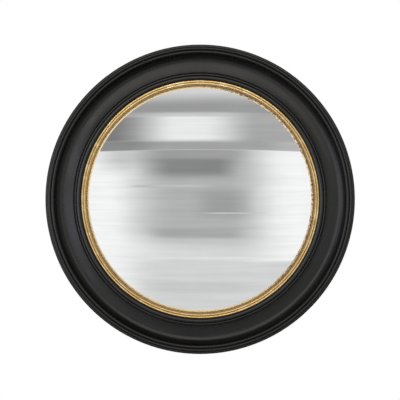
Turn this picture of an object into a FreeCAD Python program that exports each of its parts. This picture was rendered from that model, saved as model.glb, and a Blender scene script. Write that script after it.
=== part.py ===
"""A round convex mirror in an ebonised moulding, with a reeded black slip and a gilt slip.

Row frame, in millimetres: the mirror's axis is Y, the glass looks along -Y, +Z is up, and the origin is the
point of the axis in the wall plane. Radii are measured from the axis. Levels are measured from the wall
plane towards the viewer, so a level of 6 lies at Y = -6. Angles are measured from straight up.
"""

import FreeCAD
import Part

import math
import os

import Sketcher

# ---------------------------------------------------------------------------------------------------------
# Driving dimensions, in millimetres, degrees or counts
# ---------------------------------------------------------------------------------------------------------

SIZES = {
    # overall
    "overall_diameter": 600.0,
    "wall_standoff": 6.0,
    "back_ring_thickness": 18.0,
    "moulding_thickness": 36.0,
    # front moulding: shoulder, two reeds, scoop and sight lip, from the outer edge inwards
    "moulding_width": 52.9,
    "shoulder_width": 4.4,
    "shoulder_drop": 4.0,
    "shoulder_rounding": 2.0,
    "reed_width": 6.3,
    "reed_height": 2.5,
    "scoop_wall_batter": 0.7,
    "scoop_depth": 22.0,
    "cove_radius": 15.5,
    "scoop_lip_rise": 3.3,
    "side_foot_height": 12.0,
    "side_cove_radius": 8.0,
    "back_ring_inset": 1.0,
    # rebate that holds the slips, the glass and the board
    "rebate_width": 5.9,
    "rebate_depth": 9.0,
    "stack_clearance": 0.3,
    "slip_clearance": 0.2,
    # black slip: quirk, fillet and bead
    "black_slip_width": 14.8,
    "black_flange_thickness": 7.0,
    "quirk_width": 2.3,
    "quirk_height": 2.5,
    "fillet_width": 2.7,
    "fillet_height": 5.0,
    "bead_foot_height": 4.5,
    "bead_height": 3.0,
    # gilt slip: two fine reeds and a sight bevel
    "gilt_rebate_width": 5.6,
    "gilt_flange_thickness": 5.0,
    "gilt_foot_height": 6.1,
    "gilt_reed_width": 4.3,
    "gilt_reed_height": 1.4,
    "gilt_bevel_width": 1.9,
    # convex glass and what beds and carries it
    "glass_curvature_radius": 900.0,
    "glass_thickness": 3.0,
    "glass_edge_inset": 1.6,
    "bedding_thickness": 0.5,
    "bedding_inset": 1.0,
    "bedding_edge_inset": 3.4,
    "bedding_clearance": 0.15,
    "glass_edge_clearance": 0.6,
    "carrier_ledge_width": 12.0,
    "carrier_seat_clearance": 0.2,
    "board_thickness": 3.0,
    # frame screws and brads
    "hole_clearance": 0.1,
    "frame_screw_count": 8,
    "frame_screw_inset": 11.0,
    "frame_screw_diameter": 4.0,
    "frame_screw_head_diameter": 8.0,
    "frame_screw_length": 30.0,
    "brad_count": 8,
    "brad_diameter": 1.2,
    "brad_length": 9.0,
    # turn buttons
    "turn_button_count": 8,
    "turn_button_setback": 9.0,
    "turn_button_cover": 8.0,
    "turn_button_boss_radius": 5.5,
    "turn_button_tip_radius": 4.0,
    "turn_button_thickness": 1.2,
    "turn_button_rounding": 0.3,
    "button_screw_diameter": 3.0,
    "button_screw_head_diameter": 6.4,
    "button_screw_head_height": 2.0,
    "button_screw_length": 12.0,
    "turning_clearance": 0.08,
    "face_gap": 0.05,
    # hangers
    "hanger_angle": 63.0,
    "hanger_inset": 16.0,
    "strap_width": 12.0,
    "strap_thickness": 1.2,
    "strap_loop_gap": 2.0,
    "strap_foot_margin": 7.0,
    "strap_corner_radius": 3.0,
    "ring_wire_diameter": 3.0,
    "ring_side_gap": 1.0,
    "ring_corner_radius": 3.0,
    "ring_side_length": 1.0,
    "hanger_screw_pitch": 14.0,
    "hanger_screw_diameter": 3.0,
    "hanger_screw_head_diameter": 6.4,
    "hanger_screw_head_height": 2.0,
    "hanger_screw_length": 14.0,
    # wall bumpers
    "bumper_diameter": 18.0,
    "bumper_inset": 19.0,
    "bumper_angle": 33.0,
    "bumper_rounding": 1.5,
}

# Radii and levels worked out from the driving dimensions. Each may use the ones above it.
PLACES = {
    # radii of the moulding
    "outer_radius": "Sizes.overall_diameter / 2",
    "reed_start_radius": "outer_radius - Sizes.shoulder_width",
    "reed_middle_radius": "reed_start_radius - Sizes.reed_width",
    "reed_end_radius": "reed_middle_radius - Sizes.reed_width",
    "cove_start_radius": "reed_end_radius - Sizes.scoop_wall_batter",
    "scoop_radius": "cove_start_radius - Sizes.cove_radius",
    "lip_radius": "outer_radius - Sizes.moulding_width",
    "stack_radius": "lip_radius + Sizes.rebate_width",
    "foot_radius": "outer_radius - Sizes.side_cove_radius",
    "back_ring_radius": "foot_radius - Sizes.back_ring_inset",
    # radii of the slips, the glass and its packing
    "pressed_radius": "stack_radius - Sizes.stack_clearance",
    "black_body_radius": "lip_radius - Sizes.slip_clearance",
    "fillet_radius": "lip_radius - Sizes.quirk_width",
    "bead_radius": "fillet_radius - Sizes.fillet_width",
    "black_sight_radius": "lip_radius - Sizes.black_slip_width",
    "gilt_rebate_radius": "black_sight_radius + Sizes.gilt_rebate_width",
    "gilt_flange_radius": "gilt_rebate_radius - Sizes.stack_clearance",
    "gilt_body_radius": "black_sight_radius - Sizes.slip_clearance",
    "gilt_middle_radius": "gilt_body_radius - Sizes.gilt_reed_width",
    "gilt_bevel_radius": "gilt_middle_radius - Sizes.gilt_reed_width",
    "sight_radius": "gilt_bevel_radius - Sizes.gilt_bevel_width",
    "glass_edge_radius": "gilt_flange_radius - Sizes.glass_edge_inset",
    "carrier_rebate_radius": "glass_edge_radius + Sizes.glass_edge_clearance",
    "carrier_ledge_radius": "glass_edge_radius - Sizes.carrier_ledge_width",
    "bedding_inner_radius": "sight_radius + Sizes.bedding_inset",
    "bedding_outer_radius": "glass_edge_radius - Sizes.bedding_edge_inset",
    # radii on which fixings stand
    "frame_screw_radius": "back_ring_radius - Sizes.frame_screw_inset",
    "button_radius": "stack_radius + Sizes.turn_button_setback",
    "button_nose_radius": "stack_radius - Sizes.turn_button_cover + Sizes.turn_button_tip_radius",
    "hanger_radius": "back_ring_radius - Sizes.hanger_inset",
    "bumper_radius": "back_ring_radius - Sizes.bumper_inset",
    "black_brad_radius": "(stack_radius + lip_radius) / 2",
    "gilt_brad_radius": "(gilt_flange_radius + black_sight_radius) / 2",
    # levels
    "back_level": "Sizes.wall_standoff",
    "seam_level": "back_level + Sizes.back_ring_thickness",
    "rim_level": "seam_level + Sizes.moulding_thickness",
    "reed_level": "rim_level - Sizes.reed_height",
    "shoulder_level": "rim_level - Sizes.shoulder_drop",
    "side_foot_level": "seam_level + Sizes.side_foot_height",
    "side_band_level": "side_foot_level + Sizes.side_cove_radius",
    "scoop_level": "rim_level - Sizes.scoop_depth",
    "cove_level": "scoop_level + Sizes.cove_radius",
    "scoop_lip_level": "scoop_level + Sizes.scoop_lip_rise",
    "lip_level": "seam_level + Sizes.rebate_depth",
    "quirk_level": "lip_level + Sizes.quirk_height",
    "fillet_level": "lip_level + Sizes.fillet_height",
    "bead_foot_level": "lip_level + Sizes.bead_foot_height",
    "slip_back_level": "lip_level - Sizes.black_flange_thickness",
    "gilt_lip_level": "slip_back_level + Sizes.gilt_flange_thickness",
    "gilt_foot_level": "gilt_lip_level + Sizes.gilt_foot_height",
    "board_front_level": "back_level + Sizes.board_thickness",
    # arc radii from their chords and rises
    "reed_arc_radius": "(Sizes.reed_width ^ 2 / 4 + Sizes.reed_height ^ 2) / (2 * Sizes.reed_height)",
    "scoop_reach": "scoop_radius - lip_radius",
    "scoop_arc_radius": "(scoop_reach ^ 2 + Sizes.scoop_lip_rise ^ 2) / (2 * Sizes.scoop_lip_rise)",
    "bead_width": "bead_radius - black_sight_radius",
    "bead_arc_radius": "(bead_width ^ 2 / 4 + Sizes.bead_height ^ 2) / (2 * Sizes.bead_height)",
    "gilt_reed_arc_radius": (
        "(Sizes.gilt_reed_width ^ 2 / 4 + Sizes.gilt_reed_height ^ 2) / (2 * Sizes.gilt_reed_height)"
    ),
    # the glass is a shell between two spheres about one centre on the axis
    "glass_front_radius": "Sizes.glass_curvature_radius",
    "glass_back_radius": "glass_front_radius - Sizes.glass_thickness",
    "glass_sight_level": "slip_back_level - Sizes.bedding_thickness",
    "glass_centre_level": "glass_sight_level - sqrt(glass_front_radius ^ 2 - sight_radius ^ 2)",
    "glass_front_edge_level": "glass_centre_level + sqrt(glass_front_radius ^ 2 - glass_edge_radius ^ 2)",
    "glass_back_edge_level": "glass_centre_level + sqrt(glass_back_radius ^ 2 - glass_edge_radius ^ 2)",
    "glass_front_apex_level": "glass_centre_level + glass_front_radius",
    "glass_back_apex_level": "glass_centre_level + glass_back_radius",
    "carrier_seat_level": "glass_back_edge_level - Sizes.carrier_seat_clearance",
    "bedding_arc_radius": "glass_front_radius + Sizes.bedding_clearance",
    "bedding_inner_level": "glass_centre_level + sqrt(bedding_arc_radius ^ 2 - bedding_inner_radius ^ 2)",
    "bedding_outer_level": "glass_centre_level + sqrt(bedding_arc_radius ^ 2 - bedding_outer_radius ^ 2)",
    # turn buttons lie on the back face, and their screws' heads on them
    "button_front_level": "back_level - Sizes.face_gap",
    "button_back_level": "button_front_level - Sizes.turn_button_thickness",
    "button_seat_level": "button_back_level - Sizes.face_gap",
    "button_tip_level": "back_level + Sizes.button_screw_length",
    # hangers: the strap's loop and the ring's bar share one axis
    "bar_across": "hanger_radius * sin(Sizes.hanger_angle * 1 deg)",
    "bar_height": "hanger_radius * cos(Sizes.hanger_angle * 1 deg)",
    "strap_loop_bore": "Sizes.ring_wire_diameter / 2 + Sizes.turning_clearance",
    "strap_loop_radius": "strap_loop_bore + Sizes.strap_thickness",
    "bar_level": "back_level - strap_loop_radius",
    "strap_outer_level": "back_level - Sizes.strap_thickness",
    "strap_crown_level": "strap_outer_level - Sizes.hanger_screw_head_height",
    "hanger_screw_tip_level": "back_level + Sizes.hanger_screw_length",
    "upper_screw_height": (
        "bar_height - strap_loop_radius - Sizes.strap_loop_gap - Sizes.hanger_screw_head_diameter / 2"
    ),
    "lower_screw_height": "upper_screw_height - Sizes.hanger_screw_pitch",
    "strap_foot_height": "lower_screw_height - Sizes.strap_foot_margin",
    "ring_half_width": "Sizes.strap_width / 2 + Sizes.ring_side_gap + Sizes.ring_corner_radius",
    "ring_corner_height": "bar_height + Sizes.ring_corner_radius",
    "ring_shoulder_height": "ring_corner_height + Sizes.ring_side_length",
    "ring_top_height": "ring_shoulder_height + ring_half_width",
    # wall bumpers
    "bumper_across": "bumper_radius * sin(Sizes.bumper_angle * 1 deg)",
    "bumper_up": "bumper_radius * cos(Sizes.bumper_angle * 1 deg)",
}

# The angle of the first frame screw, and the radius and first angle of each slip's brads
FRAME_SCREW_ANGLE = "180 / Sizes.frame_screw_count"
BLACK_BRADS = ("Places.black_brad_radius", "90 / Sizes.brad_count")
GILT_BRADS = ("Places.gilt_brad_radius", "270 / Sizes.brad_count")

HANGER_SCREW_HOLE = "Sizes.hanger_screw_diameter / 2 + Sizes.hole_clearance"
HANGER_SCREW_HEIGHTS = ("Places.upper_screw_height", "Places.lower_screw_height")
SIDES = {"left": "-", "right": ""}
TOUCHING = 1e-4

doc = FreeCAD.newDocument("ConvexMirror")
pieces = []


def fill_sheet(name, cells):
    """One sheet of named cells: the name in column A and its number or formula in column B."""
    sheet = doc.addObject("Spreadsheet::Sheet", name)
    for row, (alias, content) in enumerate(cells.items(), start=1):
        sheet.set(f"A{row}", alias)
        sheet.setAlias(f"B{row}", alias)
        sheet.set(f"B{row}", f"={content}" if isinstance(content, str) else str(content))
    doc.recompute()
    return sheet


sizes = fill_sheet("Sizes", SIZES)
places = fill_sheet("Places", PLACES)


def number(expression):
    """The present value of an expression over the two sheets."""
    value = sizes.evalExpression(expression)
    return float(getattr(value, "Value", value))


# ---------------------------------------------------------------------------------------------------------
# Bodies, sketches and features
# ---------------------------------------------------------------------------------------------------------

# The sketcher's codes for a curve's own points and for a sketch's axes, and the two ways an arc can bend
START, END, CENTRE = range(1, 4)
HORIZONTAL_AXIS, VERTICAL_AXIS = range(-1, -3, -1)
ROUND, HOLLOW = "round", "hollow"


def new_body(label, several_solids=False):
    """A body that becomes one node of the assembly."""
    body = doc.addObject("PartDesign::Body", label)
    body.Label = label
    body.AllowCompound = several_solids
    pieces.append(body)
    return body


def origin_feature(body, role):
    """A body's own origin plane or axis."""
    return next(feature for feature in body.Origin.OriginFeatures if feature.Role == role)


def new_sketch(body, name, plane, level=None, angle=None):
    """A sketch on an origin plane: lifted to a level (XZ plane), or turned about the mirror's axis (YZ)."""
    sketch = body.newObject("Sketcher::SketchObject", name)
    sketch.AttachmentSupport = [(origin_feature(body, plane), "")]
    sketch.MapMode = "FlatFace"
    if level:
        sketch.setExpression("AttachmentOffset.Base.z", level)
    if angle:
        turn = FreeCAD.Rotation(FreeCAD.Vector(1, 0, 0), number(angle))
        sketch.AttachmentOffset = FreeCAD.Placement(FreeCAD.Vector(), turn)
        sketch.setExpression("AttachmentOffset.Rotation.Angle", angle)
    return sketch


def bind_length(sketch, kind, where, expression):
    """A radius, or a distance along x or y from the sketch's origin, bound to an expression."""
    if kind == "Radius":
        index = sketch.addConstraint(Sketcher.Constraint(kind, *where, number(expression)))
    else:
        origin = (HORIZONTAL_AXIS, START)
        index = sketch.addConstraint(Sketcher.Constraint(kind, *origin, *where, number(expression)))
    sketch.setExpression(f"Constraints[{index}]", expression)


def bind_point(sketch, where, x, y):
    """A point of the sketch, bound to a pair of expressions; a plain "0" puts it on the axis itself."""
    for kind, value, axis in (("DistanceX", x, VERTICAL_AXIS), ("DistanceY", y, HORIZONTAL_AXIS)):
        if value == "0":
            sketch.addConstraint(Sketcher.Constraint("PointOnObject", *where, axis))
        else:
            bind_length(sketch, kind, where, value)


def add_run(sketch, start, end, bend):
    """One straight or curved run: its geometry number, and which of its ends are the start and the end.

    A curved run is stored counter-clockwise, so a ROUND one on a clockwise outline is stored backwards.
    """
    if not bend:
        return sketch.addGeometry(Part.LineSegment(start, end), False), START, END
    swell, radius = bend[0], number(bend[1])
    side = 1 if swell == ROUND else -1
    chord = end - start
    to_the_left = FreeCAD.Vector(-chord.y, chord.x, 0).normalize()
    rise = radius - math.sqrt(max(radius**2 - chord.Length**2 / 4, 0.0))
    middle = (start + end) * 0.5 + to_the_left * (rise * side)
    if swell == ROUND:
        return sketch.addGeometry(Part.Arc(end, middle, start), False), END, START
    return sketch.addGeometry(Part.Arc(start, middle, end), False), START, END


def clockwise_outline(sketch, corners):
    """A closed outline drawn clockwise through corners (x, y, bend), all as expressions.

    The bend is left out for a straight run to the next corner. It is ROUND or HOLLOW, and a radius, for an
    arc of at most a half circle that swells out of the material or is scooped into it.
    """
    points = [FreeCAD.Vector(number(x), number(y), 0) for x, y, *_ in corners]
    runs = []
    for i, (_, _, *bend) in enumerate(corners):
        runs.append(add_run(sketch, points[i], points[(i + 1) % len(points)], bend))
    for i, (geometry, first, last) in enumerate(runs):
        next_geometry, next_first, _ = runs[(i + 1) % len(runs)]
        sketch.addConstraint(Sketcher.Constraint("Coincident", geometry, last, next_geometry, next_first))
    for (geometry, first, _), (x, y, *bend) in zip(runs, corners):
        bind_point(sketch, (geometry, first), x, y)
        if bend:
            bind_length(sketch, "Radius", (geometry,), bend[1])


def circle(sketch, x, y, radius):
    """A circle of a sketch, placed and sized by expressions."""
    centre = FreeCAD.Vector(number(x), number(y), 0)
    shape = Part.Circle(centre, FreeCAD.Vector(0, 0, 1), number(radius))
    geometry = sketch.addGeometry(shape, False)
    bind_point(sketch, (geometry, CENTRE), x, y)
    bind_length(sketch, "Radius", (geometry,), radius)


def towards_viewer(level):
    """The Y coordinate of a level."""
    return f"-({level})"


def turned_ring(label, corners):
    """A ring or disc: clockwise corners (radius, level, bend), turned once round the mirror's axis."""
    body = new_body(label)
    sketch = new_sketch(body, f"{label}_outline", "XY_Plane")
    clockwise_outline(sketch, [(radius, towards_viewer(level), *bend) for radius, level, *bend in corners])
    ring = body.newObject("PartDesign::Revolution", f"{label}_turned")
    ring.Profile = sketch
    ring.ReferenceAxis = (sketch, ["V_Axis"])
    ring.Angle = 360
    doc.recompute()
    return body


def round_the_axis(body, kind, name, radius, steps, count, angle=None):
    """Equal pins (kind Revolution) or holes (kind Groove) in a circle round the mirror's axis.

    steps gives one pin's own (level, radius) outline from back to front. The first pin stands at the angle.
    """
    before = body.Shape.Volume if kind == "Groove" else 0.0
    sketch = new_sketch(body, f"{name}_half", "YZ_Plane", angle=angle)
    back, front = towards_viewer(steps[0][0]), towards_viewer(steps[-1][0])
    edge = [(towards_viewer(level), f"{radius} + {half}") for level, half in steps]
    clockwise_outline(sketch, [(front, radius), (back, radius), *edge][::-1])
    one = body.newObject(f"PartDesign::{kind}", f"{name}_one")
    one.Profile = sketch
    one.ReferenceAxis = (sketch, [f"Edge{len(edge) + 1}"])
    one.Angle = 360
    doc.recompute()
    ring = body.newObject("PartDesign::PolarPattern", f"{name}_all")
    ring.Originals = [one]
    ring.Axis = (origin_feature(body, "Y_Axis"), [""])
    ring.Angle = 360
    ring.setExpression("Occurrences", count)
    body.Tip = ring
    doc.recompute()
    if kind == "Groove" and not ring.Shape.Volume < before:
        raise RuntimeError(f"{name} cuts nothing")


def pad(body, sketch, length, both_ways=False):
    """A pad of a sketch towards the viewer, or half each way."""
    feature = body.newObject("PartDesign::Pad", f"{sketch.Name}_pad")
    feature.Profile = sketch
    feature.setExpression("Length", length)
    feature.Midplane = both_ways
    doc.recompute()
    return feature


def pocket(body, sketch, depth):
    """A pocket from a sketch towards the viewer, stopped with an error if it cuts nothing."""
    before = body.Shape.Volume
    feature = body.newObject("PartDesign::Pocket", f"{sketch.Name}_pocket")
    feature.Profile = sketch
    feature.Reversed = True
    feature.setExpression("Length", depth)
    doc.recompute()
    if not feature.Shape.Volume < before:
        raise RuntimeError(f"{feature.Name} cuts nothing")
    return feature


def fillet(body, radius, chosen):
    """A fillet on those edges of the body's last feature that pass a test of their bounding box."""
    base = body.Tip
    names = [f"Edge{i}" for i, edge in enumerate(base.Shape.Edges, start=1) if chosen(edge.BoundBox)]
    feature = body.newObject("PartDesign::Fillet", f"{body.Name}_rounding")
    feature.Base = (base, names)
    feature.setExpression("Radius", radius)
    doc.recompute()
    return feature


# ---------------------------------------------------------------------------------------------------------
# Fixings: each outline is given as (level, radius) steps from back to front, and serves the hole as well
# ---------------------------------------------------------------------------------------------------------


def frame_screw_steps(clearance="0"):
    """Countersunk screw, flush with the back face, or its hole with a clearance."""
    head = f"(Sizes.frame_screw_head_diameter / 2 + {clearance})"
    shank = f"(Sizes.frame_screw_diameter / 2 + {clearance})"
    cone_end = f"Places.back_level + {head} - {shank}"
    tip = f"Places.back_level + Sizes.frame_screw_length + {clearance}"
    return [("Places.back_level", head), (cone_end, shank), (tip, shank)]


def brad_steps(clearance="0"):
    """Headless brad driven through a slip's flange, or its hole with a clearance."""
    radius = f"(Sizes.brad_diameter / 2 + {clearance})"
    tip = f"Places.slip_back_level + Sizes.brad_length + {clearance}"
    return [("Places.slip_back_level", radius), (tip, radius)]


def button_screw_steps():
    """Pan-head screw that a turn button swings on, with a bevelled crown on its head."""
    seat = "Places.button_seat_level"
    crown = f"{seat} - Sizes.button_screw_head_height"
    rim = f"{seat} - Sizes.button_screw_head_height / 2"
    head = "Sizes.button_screw_head_diameter / 2"
    crown_radius = f"{head} - Sizes.button_screw_head_height / 2"
    shank = "Sizes.button_screw_diameter / 2"
    tip = "Places.button_tip_level"
    return [(crown, crown_radius), (rim, head), (seat, head), (seat, shank), (tip, shank)]


def make_frame_screws():
    """Countersunk screws that draw the back ring onto the moulding."""
    round_the_axis(
        new_body("frame_screws", several_solids=True), "Revolution", "frame_screw",
        "Places.frame_screw_radius", frame_screw_steps(), "Sizes.frame_screw_count", FRAME_SCREW_ANGLE,
    )


def make_brads():
    """Brads that pin the black slip to the moulding, and the gilt slip to the black slip."""
    for label, (radius, angle) in {"black_slip_brads": BLACK_BRADS, "gilt_slip_brads": GILT_BRADS}.items():
        body = new_body(label, several_solids=True)
        round_the_axis(body, "Revolution", label, radius, brad_steps(), "Sizes.brad_count", angle)


def cut_brad_holes(body, name, brads):
    """Holes for one slip's brads in a ring that they pass into."""
    radius, angle = brads
    steps = brad_steps("Sizes.hole_clearance")
    round_the_axis(body, "Groove", f"{body.Name}_{name}", radius, steps, "Sizes.brad_count", angle)


def cut_frame_screw_holes(body):
    """Holes for the frame screws in a ring that they pass into."""
    round_the_axis(
        body, "Groove", f"{body.Name}_screw_hole", "Places.frame_screw_radius",
        frame_screw_steps("Sizes.hole_clearance"), "Sizes.frame_screw_count", FRAME_SCREW_ANGLE,
    )


# ---------------------------------------------------------------------------------------------------------
# Frame and slips
# ---------------------------------------------------------------------------------------------------------


def make_front_moulding():
    """Ring with a rounded shoulder, two reeds, a deep scoop and a sight lip, over a coved side."""
    body = turned_ring("front_moulding", [
        ("Places.stack_radius", "Places.seam_level"),
        ("Places.foot_radius", "Places.seam_level"),
        ("Places.foot_radius", "Places.side_foot_level", HOLLOW, "Sizes.side_cove_radius"),
        ("Places.outer_radius", "Places.side_band_level"),
        (
            "Places.outer_radius", "Places.shoulder_level - Sizes.shoulder_rounding",
            ROUND, "Sizes.shoulder_rounding",
        ),
        ("Places.outer_radius - Sizes.shoulder_rounding", "Places.shoulder_level"),
        ("Places.reed_start_radius", "Places.shoulder_level"),
        ("Places.reed_start_radius", "Places.reed_level", ROUND, "Places.reed_arc_radius"),
        ("Places.reed_middle_radius", "Places.reed_level", ROUND, "Places.reed_arc_radius"),
        ("Places.reed_end_radius", "Places.reed_level"),
        ("Places.cove_start_radius", "Places.cove_level", HOLLOW, "Sizes.cove_radius"),
        ("Places.scoop_radius", "Places.scoop_level", HOLLOW, "Places.scoop_arc_radius"),
        ("Places.lip_radius", "Places.scoop_lip_level"),
        ("Places.lip_radius", "Places.lip_level"),
        ("Places.stack_radius", "Places.lip_level"),
    ])
    cut_frame_screw_holes(body)
    cut_brad_holes(body, "black_brad_holes", BLACK_BRADS)


def make_back_ring():
    """Build-up ring behind the moulding: it gives the depth and takes the hangers and turn buttons."""
    body = turned_ring("back_ring", [
        ("Places.stack_radius", "Places.back_level"),
        ("Places.back_ring_radius", "Places.back_level"),
        ("Places.back_ring_radius", "Places.seam_level"),
        ("Places.stack_radius", "Places.seam_level"),
    ])
    cut_frame_screw_holes(body)
    button_pilot = "(Sizes.button_screw_diameter / 2 + Sizes.hole_clearance)"
    button_steps = [
        ("Places.back_level", button_pilot),
        ("Places.button_tip_level + Sizes.hole_clearance", button_pilot),
    ]
    round_the_axis(
        body, "Groove", "button_pilot", "Places.button_radius", button_steps, "Sizes.turn_button_count"
    )
    pilots = new_sketch(body, "hanger_pilots", "XZ_Plane", level="Places.back_level")
    for sign in SIDES.values():
        for height in HANGER_SCREW_HEIGHTS:
            circle(pilots, f"{sign}Places.bar_across", height, HANGER_SCREW_HOLE)
    pocket(body, pilots, "Sizes.hanger_screw_length + Sizes.hole_clearance")


def make_black_slip():
    """Ebonised slip behind the sight lip: a quirk, a small fillet and a bead, over a flange."""
    body = turned_ring("black_slip", [
        ("Places.gilt_rebate_radius", "Places.slip_back_level"),
        ("Places.pressed_radius", "Places.slip_back_level"),
        ("Places.pressed_radius", "Places.lip_level"),
        ("Places.black_body_radius", "Places.lip_level"),
        ("Places.black_body_radius", "Places.quirk_level"),
        ("Places.fillet_radius", "Places.quirk_level"),
        ("Places.fillet_radius", "Places.fillet_level"),
        ("Places.bead_radius", "Places.fillet_level"),
        ("Places.bead_radius", "Places.bead_foot_level", ROUND, "Places.bead_arc_radius"),
        ("Places.black_sight_radius", "Places.bead_foot_level"),
        ("Places.black_sight_radius", "Places.gilt_lip_level"),
        ("Places.gilt_rebate_radius", "Places.gilt_lip_level"),
    ])
    cut_brad_holes(body, "black_brad_holes", BLACK_BRADS)
    cut_brad_holes(body, "gilt_brad_holes", GILT_BRADS)


def make_gilt_slip():
    """Gilt slip next to the glass: two fine reeds and a steep sight bevel, over a flange."""
    body = turned_ring("gilt_slip", [
        ("Places.sight_radius", "Places.slip_back_level"),
        ("Places.gilt_flange_radius", "Places.slip_back_level"),
        ("Places.gilt_flange_radius", "Places.gilt_lip_level"),
        ("Places.gilt_body_radius", "Places.gilt_lip_level"),
        ("Places.gilt_body_radius", "Places.gilt_foot_level", ROUND, "Places.gilt_reed_arc_radius"),
        ("Places.gilt_middle_radius", "Places.gilt_foot_level", ROUND, "Places.gilt_reed_arc_radius"),
        ("Places.gilt_bevel_radius", "Places.gilt_foot_level"),
    ])
    cut_brad_holes(body, "gilt_brad_holes", GILT_BRADS)


# ---------------------------------------------------------------------------------------------------------
# Glass and its packing
# ---------------------------------------------------------------------------------------------------------


def make_convex_glass():
    """Silvered glass shell of even thickness between two spheres about one centre."""
    turned_ring("convex_mirror_glass", [
        ("0", "Places.glass_back_apex_level", HOLLOW, "Places.glass_back_radius"),
        ("Places.glass_edge_radius", "Places.glass_back_edge_level"),
        ("Places.glass_edge_radius", "Places.glass_front_edge_level", ROUND, "Places.glass_front_radius"),
        ("0", "Places.glass_front_apex_level"),
    ])


def make_glass_bedding():
    """Felt strip between the gilt slip's flat back and the sloping glass."""
    turned_ring("glass_bedding_strip", [
        ("Places.bedding_inner_radius", "Places.bedding_inner_level", HOLLOW, "Places.bedding_arc_radius"),
        ("Places.bedding_outer_radius", "Places.bedding_outer_level"),
        ("Places.bedding_outer_radius", "Places.slip_back_level"),
        ("Places.bedding_inner_radius", "Places.slip_back_level"),
    ])


def make_glass_carrier():
    """Rebated ring that centres the glass and presses it forward from the board."""
    turned_ring("glass_carrier_ring", [
        ("Places.carrier_ledge_radius", "Places.board_front_level"),
        ("Places.pressed_radius", "Places.board_front_level"),
        ("Places.pressed_radius", "Places.slip_back_level"),
        ("Places.carrier_rebate_radius", "Places.slip_back_level"),
        ("Places.carrier_rebate_radius", "Places.carrier_seat_level"),
        ("Places.carrier_ledge_radius", "Places.carrier_seat_level"),
    ])


def make_backing_board():
    """Flat disc that closes the back, flush with the back ring."""
    turned_ring("backing_board", [
        ("0", "Places.back_level"),
        ("Places.pressed_radius", "Places.back_level"),
        ("Places.pressed_radius", "Places.board_front_level"),
        ("0", "Places.board_front_level"),
    ])


# ---------------------------------------------------------------------------------------------------------
# Turn buttons
# ---------------------------------------------------------------------------------------------------------


def teardrop(sketch, boss_height, boss_radius, nose_height, nose_radius):
    """A round boss over a smaller round nose, joined by two tangent lines."""
    boss_centre, nose_centre = number(boss_height), number(nose_height)
    boss_size, nose_size = number(boss_radius), number(nose_radius)
    lean = (boss_size - nose_size) / (boss_centre - nose_centre)
    spread = math.sqrt(1 - lean**2)
    joints = [
        FreeCAD.Vector(hand * spread * size, centre - lean * size, 0)
        for hand, centre, size in (
            (1, boss_centre, boss_size),
            (-1, boss_centre, boss_size),
            (-1, nose_centre, nose_size),
            (1, nose_centre, nose_size),
        )
    ]
    top = FreeCAD.Vector(0, boss_centre + boss_size, 0)
    tip = FreeCAD.Vector(0, nose_centre - nose_size, 0)
    boss = sketch.addGeometry(Part.Arc(joints[0], top, joints[1]), False)
    left_edge = sketch.addGeometry(Part.LineSegment(joints[1], joints[2]), False)
    nose = sketch.addGeometry(Part.Arc(joints[2], tip, joints[3]), False)
    right_edge = sketch.addGeometry(Part.LineSegment(joints[3], joints[0]), False)
    loop = [boss, left_edge, nose, right_edge]
    for one, other in zip(loop, loop[1:] + loop[:1]):
        sketch.addConstraint(Sketcher.Constraint("Tangent", one, END, other, START))
    for arc, height, radius in ((boss, boss_height, boss_radius), (nose, nose_height, nose_radius)):
        bind_point(sketch, (arc, CENTRE), "0", height)
        bind_length(sketch, "Radius", (arc,), radius)


def make_turn_button(index):
    """Flat teardrop plate, pointing at the mirror's axis, that swings on its own screw."""
    body = new_body(f"turn_button_{index + 1}")
    body.Placement = FreeCAD.Placement(FreeCAD.Vector(), FreeCAD.Rotation(FreeCAD.Vector(0, 1, 0), 1))
    body.setExpression("Placement.Rotation.Angle", f"360 * {index} / Sizes.turn_button_count")
    plate = new_sketch(body, f"{body.Name}_plate", "XZ_Plane", level="Places.button_back_level")
    teardrop(
        plate, "Places.button_radius", "Sizes.turn_button_boss_radius",
        "Places.button_nose_radius", "Sizes.turn_button_tip_radius",
    )
    screw_hole = "Sizes.button_screw_diameter / 2 + Sizes.turning_clearance"
    circle(plate, "0", "Places.button_radius", screw_hole)
    pad(body, plate, "Sizes.turn_button_thickness")
    back = number(towards_viewer("Places.button_back_level"))
    hole_height = number("Places.button_radius")
    fillet(body, "Sizes.turn_button_rounding", lambda box: (
        abs(box.YMin - back) < TOUCHING and abs(box.YMax - back) < TOUCHING
        and abs(box.Center.z - hole_height) > TOUCHING
    ))


def make_turn_buttons():
    """All turn buttons, and the pan-head screws that they swing on."""
    for index in range(int(SIZES["turn_button_count"])):
        make_turn_button(index)
    round_the_axis(
        new_body("turn_button_screws", several_solids=True), "Revolution", "button_screw",
        "Places.button_radius", button_screw_steps(), "Sizes.turn_button_count",
    )


# ---------------------------------------------------------------------------------------------------------
# Hangers
# ---------------------------------------------------------------------------------------------------------


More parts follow.
